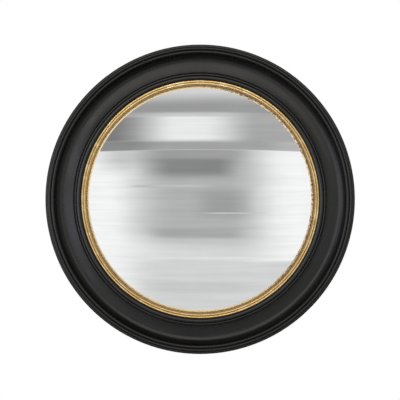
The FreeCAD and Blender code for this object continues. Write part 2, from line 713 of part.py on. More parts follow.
def make_hanger_strap(side, sign):
    """Strap screwed to the back ring, rolled at its top round the bar of the ring."""
    body = new_body(f"hanger_strap_{side}")
    body.setExpression("Placement.Base.x", f"{sign}Places.bar_across")
    bar, foot = "Places.bar_height", "Places.strap_foot_height"
    bore, loop = "Places.strap_loop_bore", "Places.strap_loop_radius"
    centre = towards_viewer("Places.bar_level")
    flat, outer = towards_viewer("Places.back_level"), towards_viewer("Places.strap_outer_level")
    side_view = new_sketch(body, f"{body.Name}_side", "YZ_Plane")
    clockwise_outline(side_view, [
        (flat, foot),
        (flat, bar, ROUND, loop),
        (centre, f"{bar} + {loop}", ROUND, loop),
        (f"{centre} + {loop}", bar, ROUND, loop),
        (centre, f"{bar} - {loop}"),
        (centre, f"{bar} - {bore}", HOLLOW, bore),
        (f"{centre} + {bore}", bar, HOLLOW, bore),
        (centre, f"{bar} + {bore}", HOLLOW, bore),
        (outer, bar),
        (outer, foot),
    ])
    pad(body, side_view, "Sizes.strap_width", both_ways=True)
    holes = new_sketch(body, f"{body.Name}_holes", "XZ_Plane")
    for height in HANGER_SCREW_HEIGHTS:
        circle(holes, "0", height, HANGER_SCREW_HOLE)
    pocket(body, holes, "Places.back_level")
    foot_height = number(foot)
    fillet(body, "Sizes.strap_corner_radius", lambda box: (
        box.ZMax < foot_height + TOUCHING and box.XLength < TOUCHING
    ))


def make_hanger_ring(side, sign):
    """D-shaped wire ring whose straight bar turns in the strap's loop."""
    body = new_body(f"hanger_ring_{side}")
    body.setExpression("Placement.Base.x", f"{sign}Places.bar_across")
    bar, half, corner = "Places.bar_height", "Places.ring_half_width", "Sizes.ring_corner_radius"
    path = new_sketch(body, f"{body.Name}_path", "XZ_Plane", level="Places.bar_level")
    clockwise_outline(path, [
        ("0", bar),
        (f"-({half} - {corner})", bar, ROUND, corner),
        (f"-{half}", "Places.ring_corner_height"),
        (f"-{half}", "Places.ring_shoulder_height", ROUND, half),
        ("0", "Places.ring_top_height", ROUND, half),
        (half, "Places.ring_shoulder_height"),
        (half, "Places.ring_corner_height", ROUND, corner),
        (f"{half} - {corner}", bar),
    ])
    section = new_sketch(body, f"{body.Name}_section", "YZ_Plane")
    circle(section, towards_viewer("Places.bar_level"), bar, "Sizes.ring_wire_diameter / 2")
    doc.recompute()
    wire = body.newObject("PartDesign::AdditivePipe", f"{body.Name}_wire")
    wire.Profile = section
    wire.Spine = (path, [f"Edge{i + 1}" for i in range(len(path.Geometry))])
    doc.recompute()


def make_hanger_screws():
    """Pan-head screws of both straps, two in each."""
    body = new_body("hanger_screws", several_solids=True)
    heads = new_sketch(body, "hanger_screw_heads", "XZ_Plane", level="Places.strap_outer_level")
    shanks = new_sketch(body, "hanger_screw_shanks", "XZ_Plane", level="Places.strap_crown_level")
    for sign in SIDES.values():
        for height in HANGER_SCREW_HEIGHTS:
            across = f"{sign}Places.bar_across"
            circle(heads, across, height, "Sizes.hanger_screw_head_diameter / 2")
            circle(shanks, across, height, "Sizes.hanger_screw_diameter / 2")
    head_pad = pad(body, heads, "Sizes.hanger_screw_head_height")
    head_pad.Reversed = True
    doc.recompute()
    pad(body, shanks, "Places.hanger_screw_tip_level - Places.strap_crown_level")
    crown = number(towards_viewer("Places.strap_crown_level"))
    fillet(body, "Sizes.hanger_screw_head_height / 2", lambda box: box.YMin > crown - TOUCHING)


# ---------------------------------------------------------------------------------------------------------
# Wall bumpers
# ---------------------------------------------------------------------------------------------------------


def make_wall_bumpers():
    """Four round pads that hold the frame off the wall."""
    body = new_body("wall_bumpers", several_solids=True)
    discs = new_sketch(body, "wall_bumper_discs", "XZ_Plane")
    for across_sign in SIDES.values():
        for up_sign in ("-", ""):
            centre = f"{across_sign}Places.bumper_across", f"{up_sign}Places.bumper_up"
            circle(discs, *centre, "Sizes.bumper_diameter / 2")
    pad(body, discs, "Sizes.wall_standoff")
    fillet(body, "Sizes.bumper_rounding", lambda box: box.YMin > -TOUCHING)


# ---------------------------------------------------------------------------------------------------------
# Build, check and export
# ---------------------------------------------------------------------------------------------------------


def make_all():
    """Every piece of the mirror, from the frame to what hangs it."""
    make_front_moulding()
    make_back_ring()
    make_frame_screws()
    make_black_slip()
    make_gilt_slip()
    make_brads()
    make_convex_glass()
    make_glass_bedding()
    make_glass_carrier()
    make_backing_board()
    make_turn_buttons()
    for side, sign in SIDES.items():
        make_hanger_strap(side, sign)
        make_hanger_ring(side, sign)
    make_hanger_screws()
    make_wall_bumpers()


def check_and_export():
    """Stops on any failed object or shape, then writes one STEP file for each piece."""
    doc.recompute()
    failed = [item.Name for item in doc.Objects if {"Invalid", "Error"} & set(item.State)]
    bad = [piece.Label for piece in pieces if piece.Shape.isNull() or not piece.Shape.isValid()]
    if failed or bad:
        raise RuntimeError(f"failed objects {failed}, bad shapes {bad}")
    os.makedirs("parts", exist_ok=True)
    for piece in pieces:
        piece.Shape.exportStep(f"parts/{piece.Label}.step")
        print(f"{piece.Label}: {len(piece.Shape.Solids)} solids, {piece.Shape.Volume:.1f} mm3")


make_all()
check_and_export()
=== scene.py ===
"""Looks of a round convex mirror: ebonised moulding, reeded slips, silvered glass and the fittings behind.

All lengths are metres in the shared frame: the mirror's axis is Y, the glass looks along -Y and +Z is up.
A radius is measured from the axis. A level is measured from the wall plane towards the viewer, so a level
of 0.006 lies at Y = -0.006.
"""

import logging
import math
from collections.abc import Callable
from dataclasses import dataclass, field
from enum import Enum
from functools import cache

import bmesh
import bpy
from mathutils import Matrix, Vector


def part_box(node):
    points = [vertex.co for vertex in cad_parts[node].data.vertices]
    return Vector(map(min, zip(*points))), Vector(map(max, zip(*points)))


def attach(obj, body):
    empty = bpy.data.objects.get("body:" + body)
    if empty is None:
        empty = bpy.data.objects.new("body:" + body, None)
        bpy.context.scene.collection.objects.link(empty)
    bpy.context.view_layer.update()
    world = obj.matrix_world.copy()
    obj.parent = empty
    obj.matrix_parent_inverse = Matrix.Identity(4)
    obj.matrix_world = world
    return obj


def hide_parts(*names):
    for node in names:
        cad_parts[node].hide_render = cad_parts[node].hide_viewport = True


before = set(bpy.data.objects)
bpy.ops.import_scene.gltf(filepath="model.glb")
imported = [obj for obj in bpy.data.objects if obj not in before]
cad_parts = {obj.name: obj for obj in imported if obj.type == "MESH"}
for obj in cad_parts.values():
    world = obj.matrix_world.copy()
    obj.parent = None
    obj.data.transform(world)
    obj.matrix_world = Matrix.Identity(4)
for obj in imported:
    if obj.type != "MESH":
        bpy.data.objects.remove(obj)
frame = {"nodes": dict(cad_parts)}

log = logging.getLogger("mirror")

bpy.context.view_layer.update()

ORIGIN = Vector((0, 0, 0))
ACROSS, INTO_WALL, UP = Vector((1, 0, 0)), Vector((0, 1, 0)), Vector((0, 0, 1))
TO_VIEWER = -INTO_WALL

FULL_TURN = 2 * math.pi
RING_STEPS = 256
SMALL_STEPS = 32
ARC_STEP = math.radians(7.5)
CORNER_ANGLE = math.radians(20)
CREASE_ANGLE = math.radians(38)
SOFT_SEGMENTS = 3
MERGE_DISTANCE = 1e-6
NEAR_AXIS = 0.001
RELIEF = "relief"
RELIEF_REACH = 0.0005
SHADING = "even_shading"

Input = bpy.types.NodeSocket | float
Colour = bpy.types.NodeSocket | tuple
Spread = tuple[float, float, float, float]


# ---------------------------------------------------------------------------------------------------------
# Mesh work that every piece shares
# ---------------------------------------------------------------------------------------------------------


class Bend(Enum):
    """How an arc leaves its chord on an outline drawn anticlockwise round the material."""

    ROUND = 1
    HOLLOW = -1


@dataclass(frozen=True)
class Reach:
    """How far a CAD node reaches: its outer radius, and its levels at the back and at the front."""

    radius: float
    back: float
    front: float


def reach(node: str) -> Reach:
    """Measures a CAD node that is centred on the mirror's axis.

    Args:
        node: name of the CAD node.

    Returns:
        Its outer radius and its two levels.
    """
    low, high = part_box(node)
    return Reach(radius=high.x, back=-high.y, front=-low.y)


class Outline:
    """A path of straight and round runs, drawn point by point in one plane of its own bmesh."""

    def __init__(
        self, a: float, b: float, across: Vector = ACROSS, up: Vector = TO_VIEWER,
        soften: float = 0.0003, longest: float = 0.0015,
    ) -> None:
        """Starts the path at one point.

        Args:
            a: distance of the first point along across, which is a radius in the default plane.
            b: distance of the first point along up, which is a level in the default plane.
            across: first direction of the plane.
            up: second direction of the plane.
            soften: how far every corner is rounded back, unless a run says otherwise.
            longest: longest step along an arc.
        """
        self.mesh = bmesh.new()
        self.across, self.up, self.normal = across, up, across.cross(up)
        self.soften, self.longest = soften, longest
        self.first = self.tip = self.mesh.verts.new(self.place(a, b))
        self.corners = [(self.tip, soften)]

    def place(self, a: float, b: float) -> Vector:
        """The point at two distances in the outline's plane."""
        return self.across * a + self.up * b

    def reached(self, soften: float | None) -> "Outline":
        """Notes the tip as a corner, with its own softening if one is given."""
        self.corners.append((self.tip, self.soften if soften is None else soften))
        return self

    def line(self, a: float, b: float, soften: float | None = None) -> "Outline":
        """Draws a straight run.

        Args:
            a: end of the run along across.
            b: end of the run along up.
            soften: rounding of the corner at its end.

        Returns:
            The outline itself.
        """
        self.tip = bmesh.ops.extrude_vert_indiv(self.mesh, verts=[self.tip])["verts"][0]
        self.tip.co = self.place(a, b)
        return self.reached(soften)

    def swing(self, a: float, b: float, angle: float, soften: float | None = None) -> "Outline":
        """Draws an arc about a centre, anticlockwise if the angle is positive.

        Args:
            a: centre of the arc along across.
            b: centre of the arc along up.
            angle: how far the arc turns, in radians.
            soften: rounding of the corner at its end.

        Returns:
            The outline itself.
        """
        centre = self.place(a, b)
        length = (self.tip.co - centre).length * abs(angle)
        steps = max(math.ceil(abs(angle) / ARC_STEP), math.ceil(length / self.longest))
        spun = bmesh.ops.spin(
            self.mesh, geom=[self.tip], cent=centre, axis=self.normal, angle=angle, steps=steps
        )
        self.tip = next(item for item in spun["geom_last"] if isinstance(item, bmesh.types.BMVert))
        return self.reached(soften)

    def arc(self, a: float, b: float, radius: float, bend: Bend, soften: float | None = None) -> "Outline":
        """Draws an arc of at most a half circle to a point.

        Args:
            a: end of the arc along across.
            b: end of the arc along up.
            radius: radius of the arc.
            bend: whether it swells out of the material or is hollowed into it.
            soften: rounding of the corner at its end.

        Returns:
            The outline itself.
        """
        end = self.place(a, b)
        chord = end - self.tip.co
        half = math.asin(min(chord.length / (2 * radius), 1.0))
        to_the_left = self.normal.cross(chord).normalized()
        centre = (self.tip.co + end) / 2 + to_the_left * (bend.value * radius * math.cos(half))
        self.swing(centre.dot(self.across), centre.dot(self.up), bend.value * 2 * half, soften)
        self.tip.co = end
        return self

    def close(self) -> "Outline":
        """Joins the last point to the first."""
        bmesh.ops.contextual_create(self.mesh, geom=[self.tip, self.first])
        return self

    def rounded(self) -> "Outline":
        """Rounds each noted corner that really turns, by beveling its vertex.

        Returns:
            The outline itself.
        """
        for vertex, size in self.corners:
            if size > 0 and len(vertex.link_edges) == 2:
                one, other = (edge.other_vert(vertex).co - vertex.co for edge in vertex.link_edges)
                if math.pi - one.angle(other) > CORNER_ANGLE:
                    bmesh.ops.bevel(
                        self.mesh, geom=[vertex], offset=size, segments=SOFT_SEGMENTS, profile=0.5,
                        affect="VERTICES", material=-1,
                    )
        self.corners = []
        return self

    def path(self) -> list[bmesh.types.BMVert]:
        """Walks along the path.

        Returns:
            The points in order, from an open end if there is one.
        """
        self.mesh.verts.ensure_lookup_table()
        ends = [vertex for vertex in self.mesh.verts if len(vertex.link_edges) == 1]
        ordered = [ends[0] if ends else self.mesh.verts[0]]
        walked = None
        while True:
            onward = [edge for edge in ordered[-1].link_edges if edge is not walked]
            if not onward:
                return ordered
            walked = onward[0]
            following = walked.other_vert(ordered[-1])
            if following is ordered[0]:
                return ordered
            ordered.append(following)

    def marked(self) -> "Outline":
        """Stores on each point how sharply the surface turns there: up to 1 on an arris, -1 in a quirk.

        Returns:
            The outline itself.
        """
        layer = self.mesh.verts.layers.float.new(RELIEF)
        points = self.path()
        here = [vertex.co.copy() for vertex in points]
        loop = list(zip(points, here[-1:] + here[:-1], here, here[1:] + here[:1]))
        winding = sum(before.cross(at).dot(self.normal) for _, before, at, _ in loop)
        for vertex, before, at, after in loop:
            incoming, outgoing = at - before, after - at
            if len(vertex.link_edges) == 2 and incoming.length and outgoing.length:
                turn = incoming.angle(outgoing) * math.copysign(1, incoming.cross(outgoing).dot(self.normal))
                curve = math.copysign(1, winding) * turn * 2 / (incoming.length + outgoing.length)
                vertex[layer] = max(-1.0, min(1.0, curve * RELIEF_REACH))
        return self

    def turned(self, steps: int = RING_STEPS) -> bmesh.types.BMesh:
        """Turns the finished outline once round the Y axis, and closes it where it meets the axis.

        Args:
            steps: number of steps in the full turn.

        Returns:
            The turned mesh.
        """
        self.rounded().marked()
        bmesh.ops.spin(
            self.mesh, geom=self.mesh.verts[:] + self.mesh.edges[:], cent=ORIGIN, axis=INTO_WALL,
            angle=FULL_TURN, steps=steps, use_merge=True,
        )
        bmesh.ops.remove_doubles(self.mesh, verts=self.mesh.verts[:], dist=MERGE_DISTANCE)
        return self.mesh

    def raised(self, thickness: float) -> bmesh.types.BMesh:
        """Fills the outline and raises it into a solid.

        Args:
            thickness: height of the solid along the plane's normal.

        Returns:
            The solid mesh.
        """
        self.rounded()
        bmesh.ops.triangle_fill(self.mesh, edges=self.mesh.edges[:], use_beauty=True)
        raised = bmesh.ops.extrude_face_region(self.mesh, geom=self.mesh.faces[:])["geom"]
        top = [item for item in raised if isinstance(item, bmesh.types.BMVert)]
        bmesh.ops.translate(self.mesh, verts=top, vec=self.normal * thickness)
        return self.mesh


def about_axis(angle: float) -> Matrix:
    """A turn about the mirror's axis, clockwise as the viewer sees it."""
    return Matrix.Rotation(angle, 3, INTO_WALL)


def repeated(mesh: bmesh.types.BMesh, turns: list[Matrix], spins: list[float], spot: Vector) -> None:
    """Copies a part round the mirror's axis, and turns each copy a little about its own.

    Args:
        mesh: holds the first part alone.
        turns: where each part goes, as a turn about the mirror's axis.
        spins: how far each part is turned about its own axis first.
        spot: where the first part's own axis is.
    """
    first = mesh.verts[:] + mesh.edges[:] + mesh.faces[:]
    batches = [first] + [bmesh.ops.duplicate(mesh, geom=first)["geom"] for _ in turns[1:]]
    for batch, turn, spin in zip(batches, turns, spins):
        verts = [item for item in batch if isinstance(item, bmesh.types.BMVert)]
        bmesh.ops.rotate(mesh, verts=verts, cent=spot, matrix=about_axis(spin))
        bmesh.ops.rotate(mesh, verts=verts, cent=ORIGIN, matrix=turn)


def as_piece(mesh: bmesh.types.BMesh, name: str) -> bpy.types.Object:
    """Makes a finished mesh an object of the scene, with smooth curves and crisp arrises.

    Args:
        mesh: the finished bmesh, which is freed.
        name: name of the piece.

    Returns:
        The new object.
    """
    bmesh.ops.remove_doubles(mesh, verts=mesh.verts[:], dist=MERGE_DISTANCE)
    bmesh.ops.recalc_face_normals(mesh, faces=mesh.faces[:])
    for face in mesh.faces:
        face.smooth = True
    for edge in mesh.edges:
        edge.smooth = edge.calc_face_angle(0.0) < CREASE_ANGLE
    data = bpy.data.meshes.new(name)
    mesh.to_mesh(data)
    mesh.free()
    piece = bpy.data.objects.new(name, data)
    bpy.context.scene.collection.objects.link(piece)
    weighted = piece.modifiers.new(SHADING, "WEIGHTED_NORMAL")
    weighted.keep_sharp = True
    return piece


def drilled(piece: bpy.types.Object, cutter: bmesh.types.BMesh) -> bpy.types.Object:
    """Cuts holes into a piece, and leaves its mesh plain.

    Args:
        piece: what is drilled.
        cutter: the holes as closed solids, which is freed.

    Returns:
        The piece.
    """
    tool = as_piece(cutter, f"{piece.name}_drill")
    cut = piece.modifiers.new("holes", "BOOLEAN")
    cut.operation, cut.solver, cut.object = "DIFFERENCE", "EXACT", tool
    weighted = piece.modifiers[SHADING]
    weighted.show_viewport = False
    holed = bpy.data.meshes.new_from_object(piece.evaluated_get(bpy.context.evaluated_depsgraph_get()))
    piece.modifiers.remove(cut)
    weighted.show_viewport = True
    plain, piece.data = piece.data, holed
    bpy.data.meshes.remove(plain)
    holed.name = piece.name
    bpy.data.objects.remove(tool)
    return piece


def dress(
    piece: bpy.types.Object, finish: "Finish", slot: str, *nodes: str, body: str = "frame"
) -> bpy.types.Object:
    """Gives a piece its finish, its body and the CAD nodes that it stands for.

    Args:
        piece: the finished piece.
        finish: what it is made of.
        slot: not used.
        nodes: CAD nodes that the piece replaces.
        body: the CAD body that it rides on.

    Returns:
        The piece.
    """
    for material in finish.materials():
        piece.data.materials.append(material)
    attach(piece, body)
    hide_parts(*nodes)
    log.info("%s: %d faces, %s", piece.name, len(piece.data.polygons), finish.name)
    return piece


def dress_node(name: str, finish: "Finish") -> None:
    """Gives a CAD node that stays a finish of its own.

    Args:
        name: name of the CAD node.
        finish: what it is made of.
    """
    node = frame["nodes"][name]
    node.data.materials.clear()
    node.data.materials.append(finish.materials()[0])
    log.info("%s: kept, %s", name, finish.name)


# ---------------------------------------------------------------------------------------------------------
# Finishes
# ---------------------------------------------------------------------------------------------------------


class Graph:
    """Adds and joins the nodes of one material or world."""

    def __init__(self, tree: bpy.types.NodeTree) -> None:
        """Empties the tree.

        Args:
            tree: the node tree to fill.
        """
        self.tree = tree
        tree.nodes.clear()

    def plug(self, source: Input | Colour, socket: bpy.types.NodeSocket) -> None:
        """Links a socket to an input, or sets the input's own value.

        Args:
            source: socket, number or colour that goes in.
            socket: the input that takes it.
        """
        if isinstance(source, bpy.types.NodeSocket):
            self.tree.links.new(source, socket)
        else:
            socket.default_value = source

    def node(self, kind: str, inputs: dict | None = None, **settings: object) -> bpy.types.Node:
        """Adds a node.

        Args:
            kind: the node's type, without its ShaderNode prefix.
            inputs: what goes into its inputs, by name or number.
            settings: properties of the node.

        Returns:
            The node.
        """
        made = self.tree.nodes.new(f"ShaderNode{kind}")
        for name, value in settings.items():
            setattr(made, name, value)
        for name, source in (inputs or {}).items():
            self.plug(source, made.inputs[name])
        return made

    def math(self, operation: str, a: Input, b: Input = 0.0, c: Input = 0.0) -> bpy.types.NodeSocket:
        """The result of a Math node on up to three values."""
        return self.node("Math", {0: a, 1: b, 2: c}, operation=operation).outputs[0]

    def ramp(
        self, value: Input, low: float, high: float, start: float = 0.0, end: float = 1.0
    ) -> bpy.types.NodeSocket:
        """Eases a value from start to end while it goes from low to high.

        Args:
            value: what is mapped.
            low: where the change starts.
            high: where it ends.
            start: result below low.
            end: result above high.

        Returns:
            The eased value.
        """
        inputs = {"Value": value, "From Min": low, "From Max": high, "To Min": start, "To Max": end}
        return self.node("MapRange", inputs, interpolation_type="SMOOTHSTEP").outputs["Result"]

    def blend(self, share: Input, one: Colour, other: Colour) -> bpy.types.NodeSocket:
        """Mixes two colours, written as linear red, green and blue.

        Args:
            share: how much of the other colour shows.
            one: the first colour.
            other: the other colour.

        Returns:
            The mixed colour.
        """
        mix = self.node("Mix", {0: share}, data_type="RGBA")
        for number, colour in ((6, one), (7, other)):
            self.plug((*colour, 1.0) if isinstance(colour, tuple) else colour, mix.inputs[number])
        return mix.outputs[2]

    def towards(self, value: Input, goal: Input, share: Input) -> bpy.types.NodeSocket:
        """A value moved towards a goal by a share of the way."""
        return self.math("MULTIPLY_ADD", self.math("SUBTRACT", goal, value), share, value)

    def below(self, value: Input, limit: float, blur: float) -> bpy.types.NodeSocket:
        """One below a limit and nothing above it, eased over the blur on both sides."""
        return self.ramp(value, limit - blur, limit + blur, 1.0, 0.0)

    def within(self, value: Input, spread: Spread) -> bpy.types.NodeSocket:
        """One inside a spread and nothing outside it, with eased ends.

        Args:
            value: the place along the spread.
            spread: where it begins, is full, begins to fade and has gone.

        Returns:
            The share, from 0 to 1.
        """
        begins, full, fades, gone = spread
        rising = self.ramp(value, begins, full) if begins < full else 1.0
        falling = self.ramp(value, fades, gone, 1.0, 0.0) if fades < gone else 1.0
        return self.math("MULTIPLY", rising, falling)

    def noise(
        self, vector: Input, scale: float, detail: float = 3.0, roughness: float = 0.5,
        distortion: float = 0.0, w: Input | None = None,
    ) -> bpy.types.NodeSocket:
        """Noise from 0 to 1 over a place in three or four dimensions.

        Args:
            vector: where it is read.
            scale: how many lumps there are in one unit of the vector.
            detail: how many finer layers it has.
            roughness: how strong the finer layers are.
            distortion: how far the lumps are pulled about.
            w: place in the fourth dimension, if there is one.

        Returns:
            The noise value.
        """
        inputs = {
            "Vector": vector, "Scale": scale, "Detail": detail, "Roughness": roughness,
            "Distortion": distortion,
        }
        if w is not None:
            inputs["W"] = w
        return self.node("TexNoise", inputs, noise_dimensions="3D" if w is None else "4D").outputs[0]

    def place(self) -> bpy.types.NodeSocket:
        """Object coordinates, in metres."""
        return self.node("TexCoord").outputs["Object"]

    def slanted(self, angle: float, scale: tuple) -> bpy.types.NodeSocket:
        """Object coordinates turned in the plane of the wall, and stretched.

        Args:
            angle: how far they are turned.
            scale: how much each axis is stretched.

        Returns:
            The coordinates.
        """
        inputs = {"Vector": self.place(), "Rotation": (0.0, angle, 0.0), "Scale": scale}
        return self.node("Mapping", inputs).outputs[0]

    def relief(self) -> bpy.types.NodeSocket:
        """How sharply the surface turns, as the outline stored it."""
        return self.node("Attribute", attribute_name=RELIEF).outputs["Fac"]

    def bumps(self, *layers: tuple[Input, float]) -> bpy.types.NodeSocket:
        """A normal made of bump layers.

        Args:
            layers: each layer's height value and how many metres its full height is.

        Returns:
            The normal of the last layer.
        """
        normal = None
        for height, metres in layers:
            inputs = {"Height": height, "Distance": metres, "Strength": 1.0}
            if normal is not None:
                inputs["Normal"] = normal
            normal = self.node("Bump", inputs).outputs[0]
        return normal

    def surface(self, **inputs: object) -> None:
        """Ends a material in one Principled shader, its inputs named with underscores for spaces."""
        named = {name.replace("_", " "): value for name, value in inputs.items()}
        shader = self.node("BsdfPrincipled", {
            name: (*value, 1.0) if isinstance(value, tuple) and len(value) == 3 else value
            for name, value in named.items()
        })
        self.node("OutputMaterial", {"Surface": shader.outputs[0]})


@dataclass(frozen=True)
class RoundPlace:
    """Where a point of a turned piece lies: its radius and level, and a place that runs round the ring."""

    radius: bpy.types.NodeSocket
    level: bpy.types.NodeSocket
    angle: bpy.types.NodeSocket
    along: bpy.types.NodeSocket
    w: bpy.types.NodeSocket


def round_place(graph: Graph, along: float, across: float) -> RoundPlace:
    """Sets up coordinates that follow a turned ring without a seam.

    Args:
        graph: where the nodes go.
        along: how many noise lumps fit in one radian along the ring.
        across: how many noise lumps fit in one metre across it.

    Returns:
        The sockets. Noise on along, with w as its fourth dimension, is drawn out along the ring.
    """
    x, y, z = graph.node("SeparateXYZ", {0: graph.place()}).outputs
    radius = graph.math("SQRT", graph.math("ADD", graph.math("MULTIPLY", x, x), graph.math("MULTIPLY", z, z)))
    safe = graph.math("MAXIMUM", radius, NEAR_AXIS)
    sine, cosine = graph.math("DIVIDE", x, safe), graph.math("DIVIDE", z, safe)
    vector = graph.node("CombineXYZ", {
        0: graph.math("MULTIPLY", sine, along),
        1: graph.math("MULTIPLY", cosine, along),
        2: graph.math("MULTIPLY", radius, across),
    })
    return RoundPlace(
        radius=radius, level=graph.math("MULTIPLY", y, -1.0), angle=graph.math("ARCTAN2", x, z),
        along=vector.outputs[0], w=graph.math("MULTIPLY", y, across),
    )


def painted(name: str, paint: Callable[[Graph], None]) -> bpy.types.Material:
    """Makes a material.

    Args:
        name: name of the material.
        paint: function that fills its node graph.

    Returns:
        The material.
    """
    material = bpy.data.materials.new(name)
    material.use_nodes = True
    paint(Graph(material.node_tree))
    return material


@dataclass(frozen=True)
class Finish:
    """One surface finish. Its material is made on first use and then shared."""

    name: str

    @cache
    def materials(self) -> tuple[bpy.types.Material, ...]:
        """The finish's materials, in the order of the face groups that wear them."""
        return (painted(self.name, self.paint),)

    def paint(self, graph: Graph) -> None:
        """Fills the node graph of the finish's only material.

        Args:
            graph: node graph of the material.
        """
        raise NotImplementedError


@dataclass(frozen=True)
class EbonisedLacquer(Finish):
    """Satin black lacquer over close grain, rubbed a little on its arrises and dull in its quirks."""

    black: tuple = (0.0045, 0.0044, 0.0043)
    worn_black: tuple = (0.0090, 0.0082, 0.0074)
    rubbed: tuple = (0.050, 0.033, 0.021)
    roughness: float = 0.31
    shine: float = 0.28
    grain_depth: float = 0.00004
    speck_depth: float = 0.000012

    def paint(self, graph: Graph) -> None:
        """Draws the grain round the ring, and lets the relief say where it is rubbed.

        Args:
            graph: node graph of the material.
        """
        ring = round_place(graph, along=14.0, across=900.0)
        grain = graph.noise(ring.along, 1.0, detail=4.0, roughness=0.6, w=ring.w)
        cloud = graph.noise(graph.place(), 18.0, detail=3.0)
        speck = graph.noise(graph.place(), 1400.0, detail=2.0)
        relief = graph.relief()
        arris = graph.math("MULTIPLY", graph.ramp(relief, 0.35, 1.0), graph.ramp(cloud, 0.46, 0.66))
        scuff = graph.math("MULTIPLY", arris, graph.ramp(speck, 0.40, 0.62, 0.25, 1.0))
        crest = graph.ramp(relief, 0.05, 0.25, 0.0, 0.35)
        tone = graph.blend(graph.math("MULTIPLY", cloud, 0.45), self.black, self.worn_black)
        tone = graph.blend(graph.math("MULTIPLY", crest, cloud), tone, self.worn_black)
        tone = graph.blend(graph.math("MULTIPLY", scuff, 0.6), tone, self.rubbed)
        dull = graph.ramp(relief, -0.8, -0.1, 0.16, 0.0)
        streak = graph.ramp(grain, 0.25, 0.75, -0.05, 0.05)
        rough = graph.math("ADD", graph.math("ADD", graph.ramp(cloud, 0.3, 0.7, -0.04, 0.05), dull), streak)
        graph.surface(
            Base_Color=tone,
            Roughness=graph.math("ADD", rough, self.roughness),
            Specular_IOR_Level=self.shine,
            Normal=graph.bumps((grain, self.grain_depth), (speck, self.speck_depth)),
        )


@dataclass(frozen=True)
class BackStain(Finish):
    """Matt black-brown stain on bare wood: open pores, thin patches and pale rubbed arrises."""

    stain: tuple = (0.017, 0.014, 0.012)
    thin: tuple = (0.050, 0.036, 0.026)
    bare: tuple = (0.20, 0.125, 0.070)
    pore: tuple = (0.006, 0.005, 0.0045)
    grain_scale: tuple = (26.0, 420.0, 420.0)
    shine: float = 0.35
    grain_depth: float = 0.00012
    pore_depth: float = 0.00010

    def paint(self, graph: Graph) -> None:
        """Draws straight-grained staves with pores, and rubs the arrises through.

        Args:
            graph: node graph of the material.
        """
        staves = graph.slanted(0.0, self.grain_scale)
        grain = graph.noise(staves, 1.0, detail=5.0, roughness=0.62, distortion=0.4)
        cloud = graph.noise(graph.place(), 9.0, detail=4.0)
        pores = graph.ramp(graph.noise(staves, 3.2, detail=2.0), 0.58, 0.70)
        arris = graph.math("MULTIPLY", graph.ramp(graph.relief(), 0.3, 0.9), graph.ramp(cloud, 0.42, 0.62))
        tone = graph.blend(graph.math("MULTIPLY", graph.ramp(grain, 0.3, 0.75), cloud), self.stain, self.thin)
        tone = graph.blend(graph.math("MULTIPLY", pores, 0.8), tone, self.pore)
        tone = graph.blend(graph.math("MULTIPLY", arris, 0.55), tone, self.bare)
        graph.surface(
            Base_Color=tone,
            Roughness=graph.ramp(grain, 0.2, 0.8, 0.62, 0.80),
            Specular_IOR_Level=self.shine,
            Normal=graph.bumps((grain, self.grain_depth), (pores, -self.pore_depth)),
        )


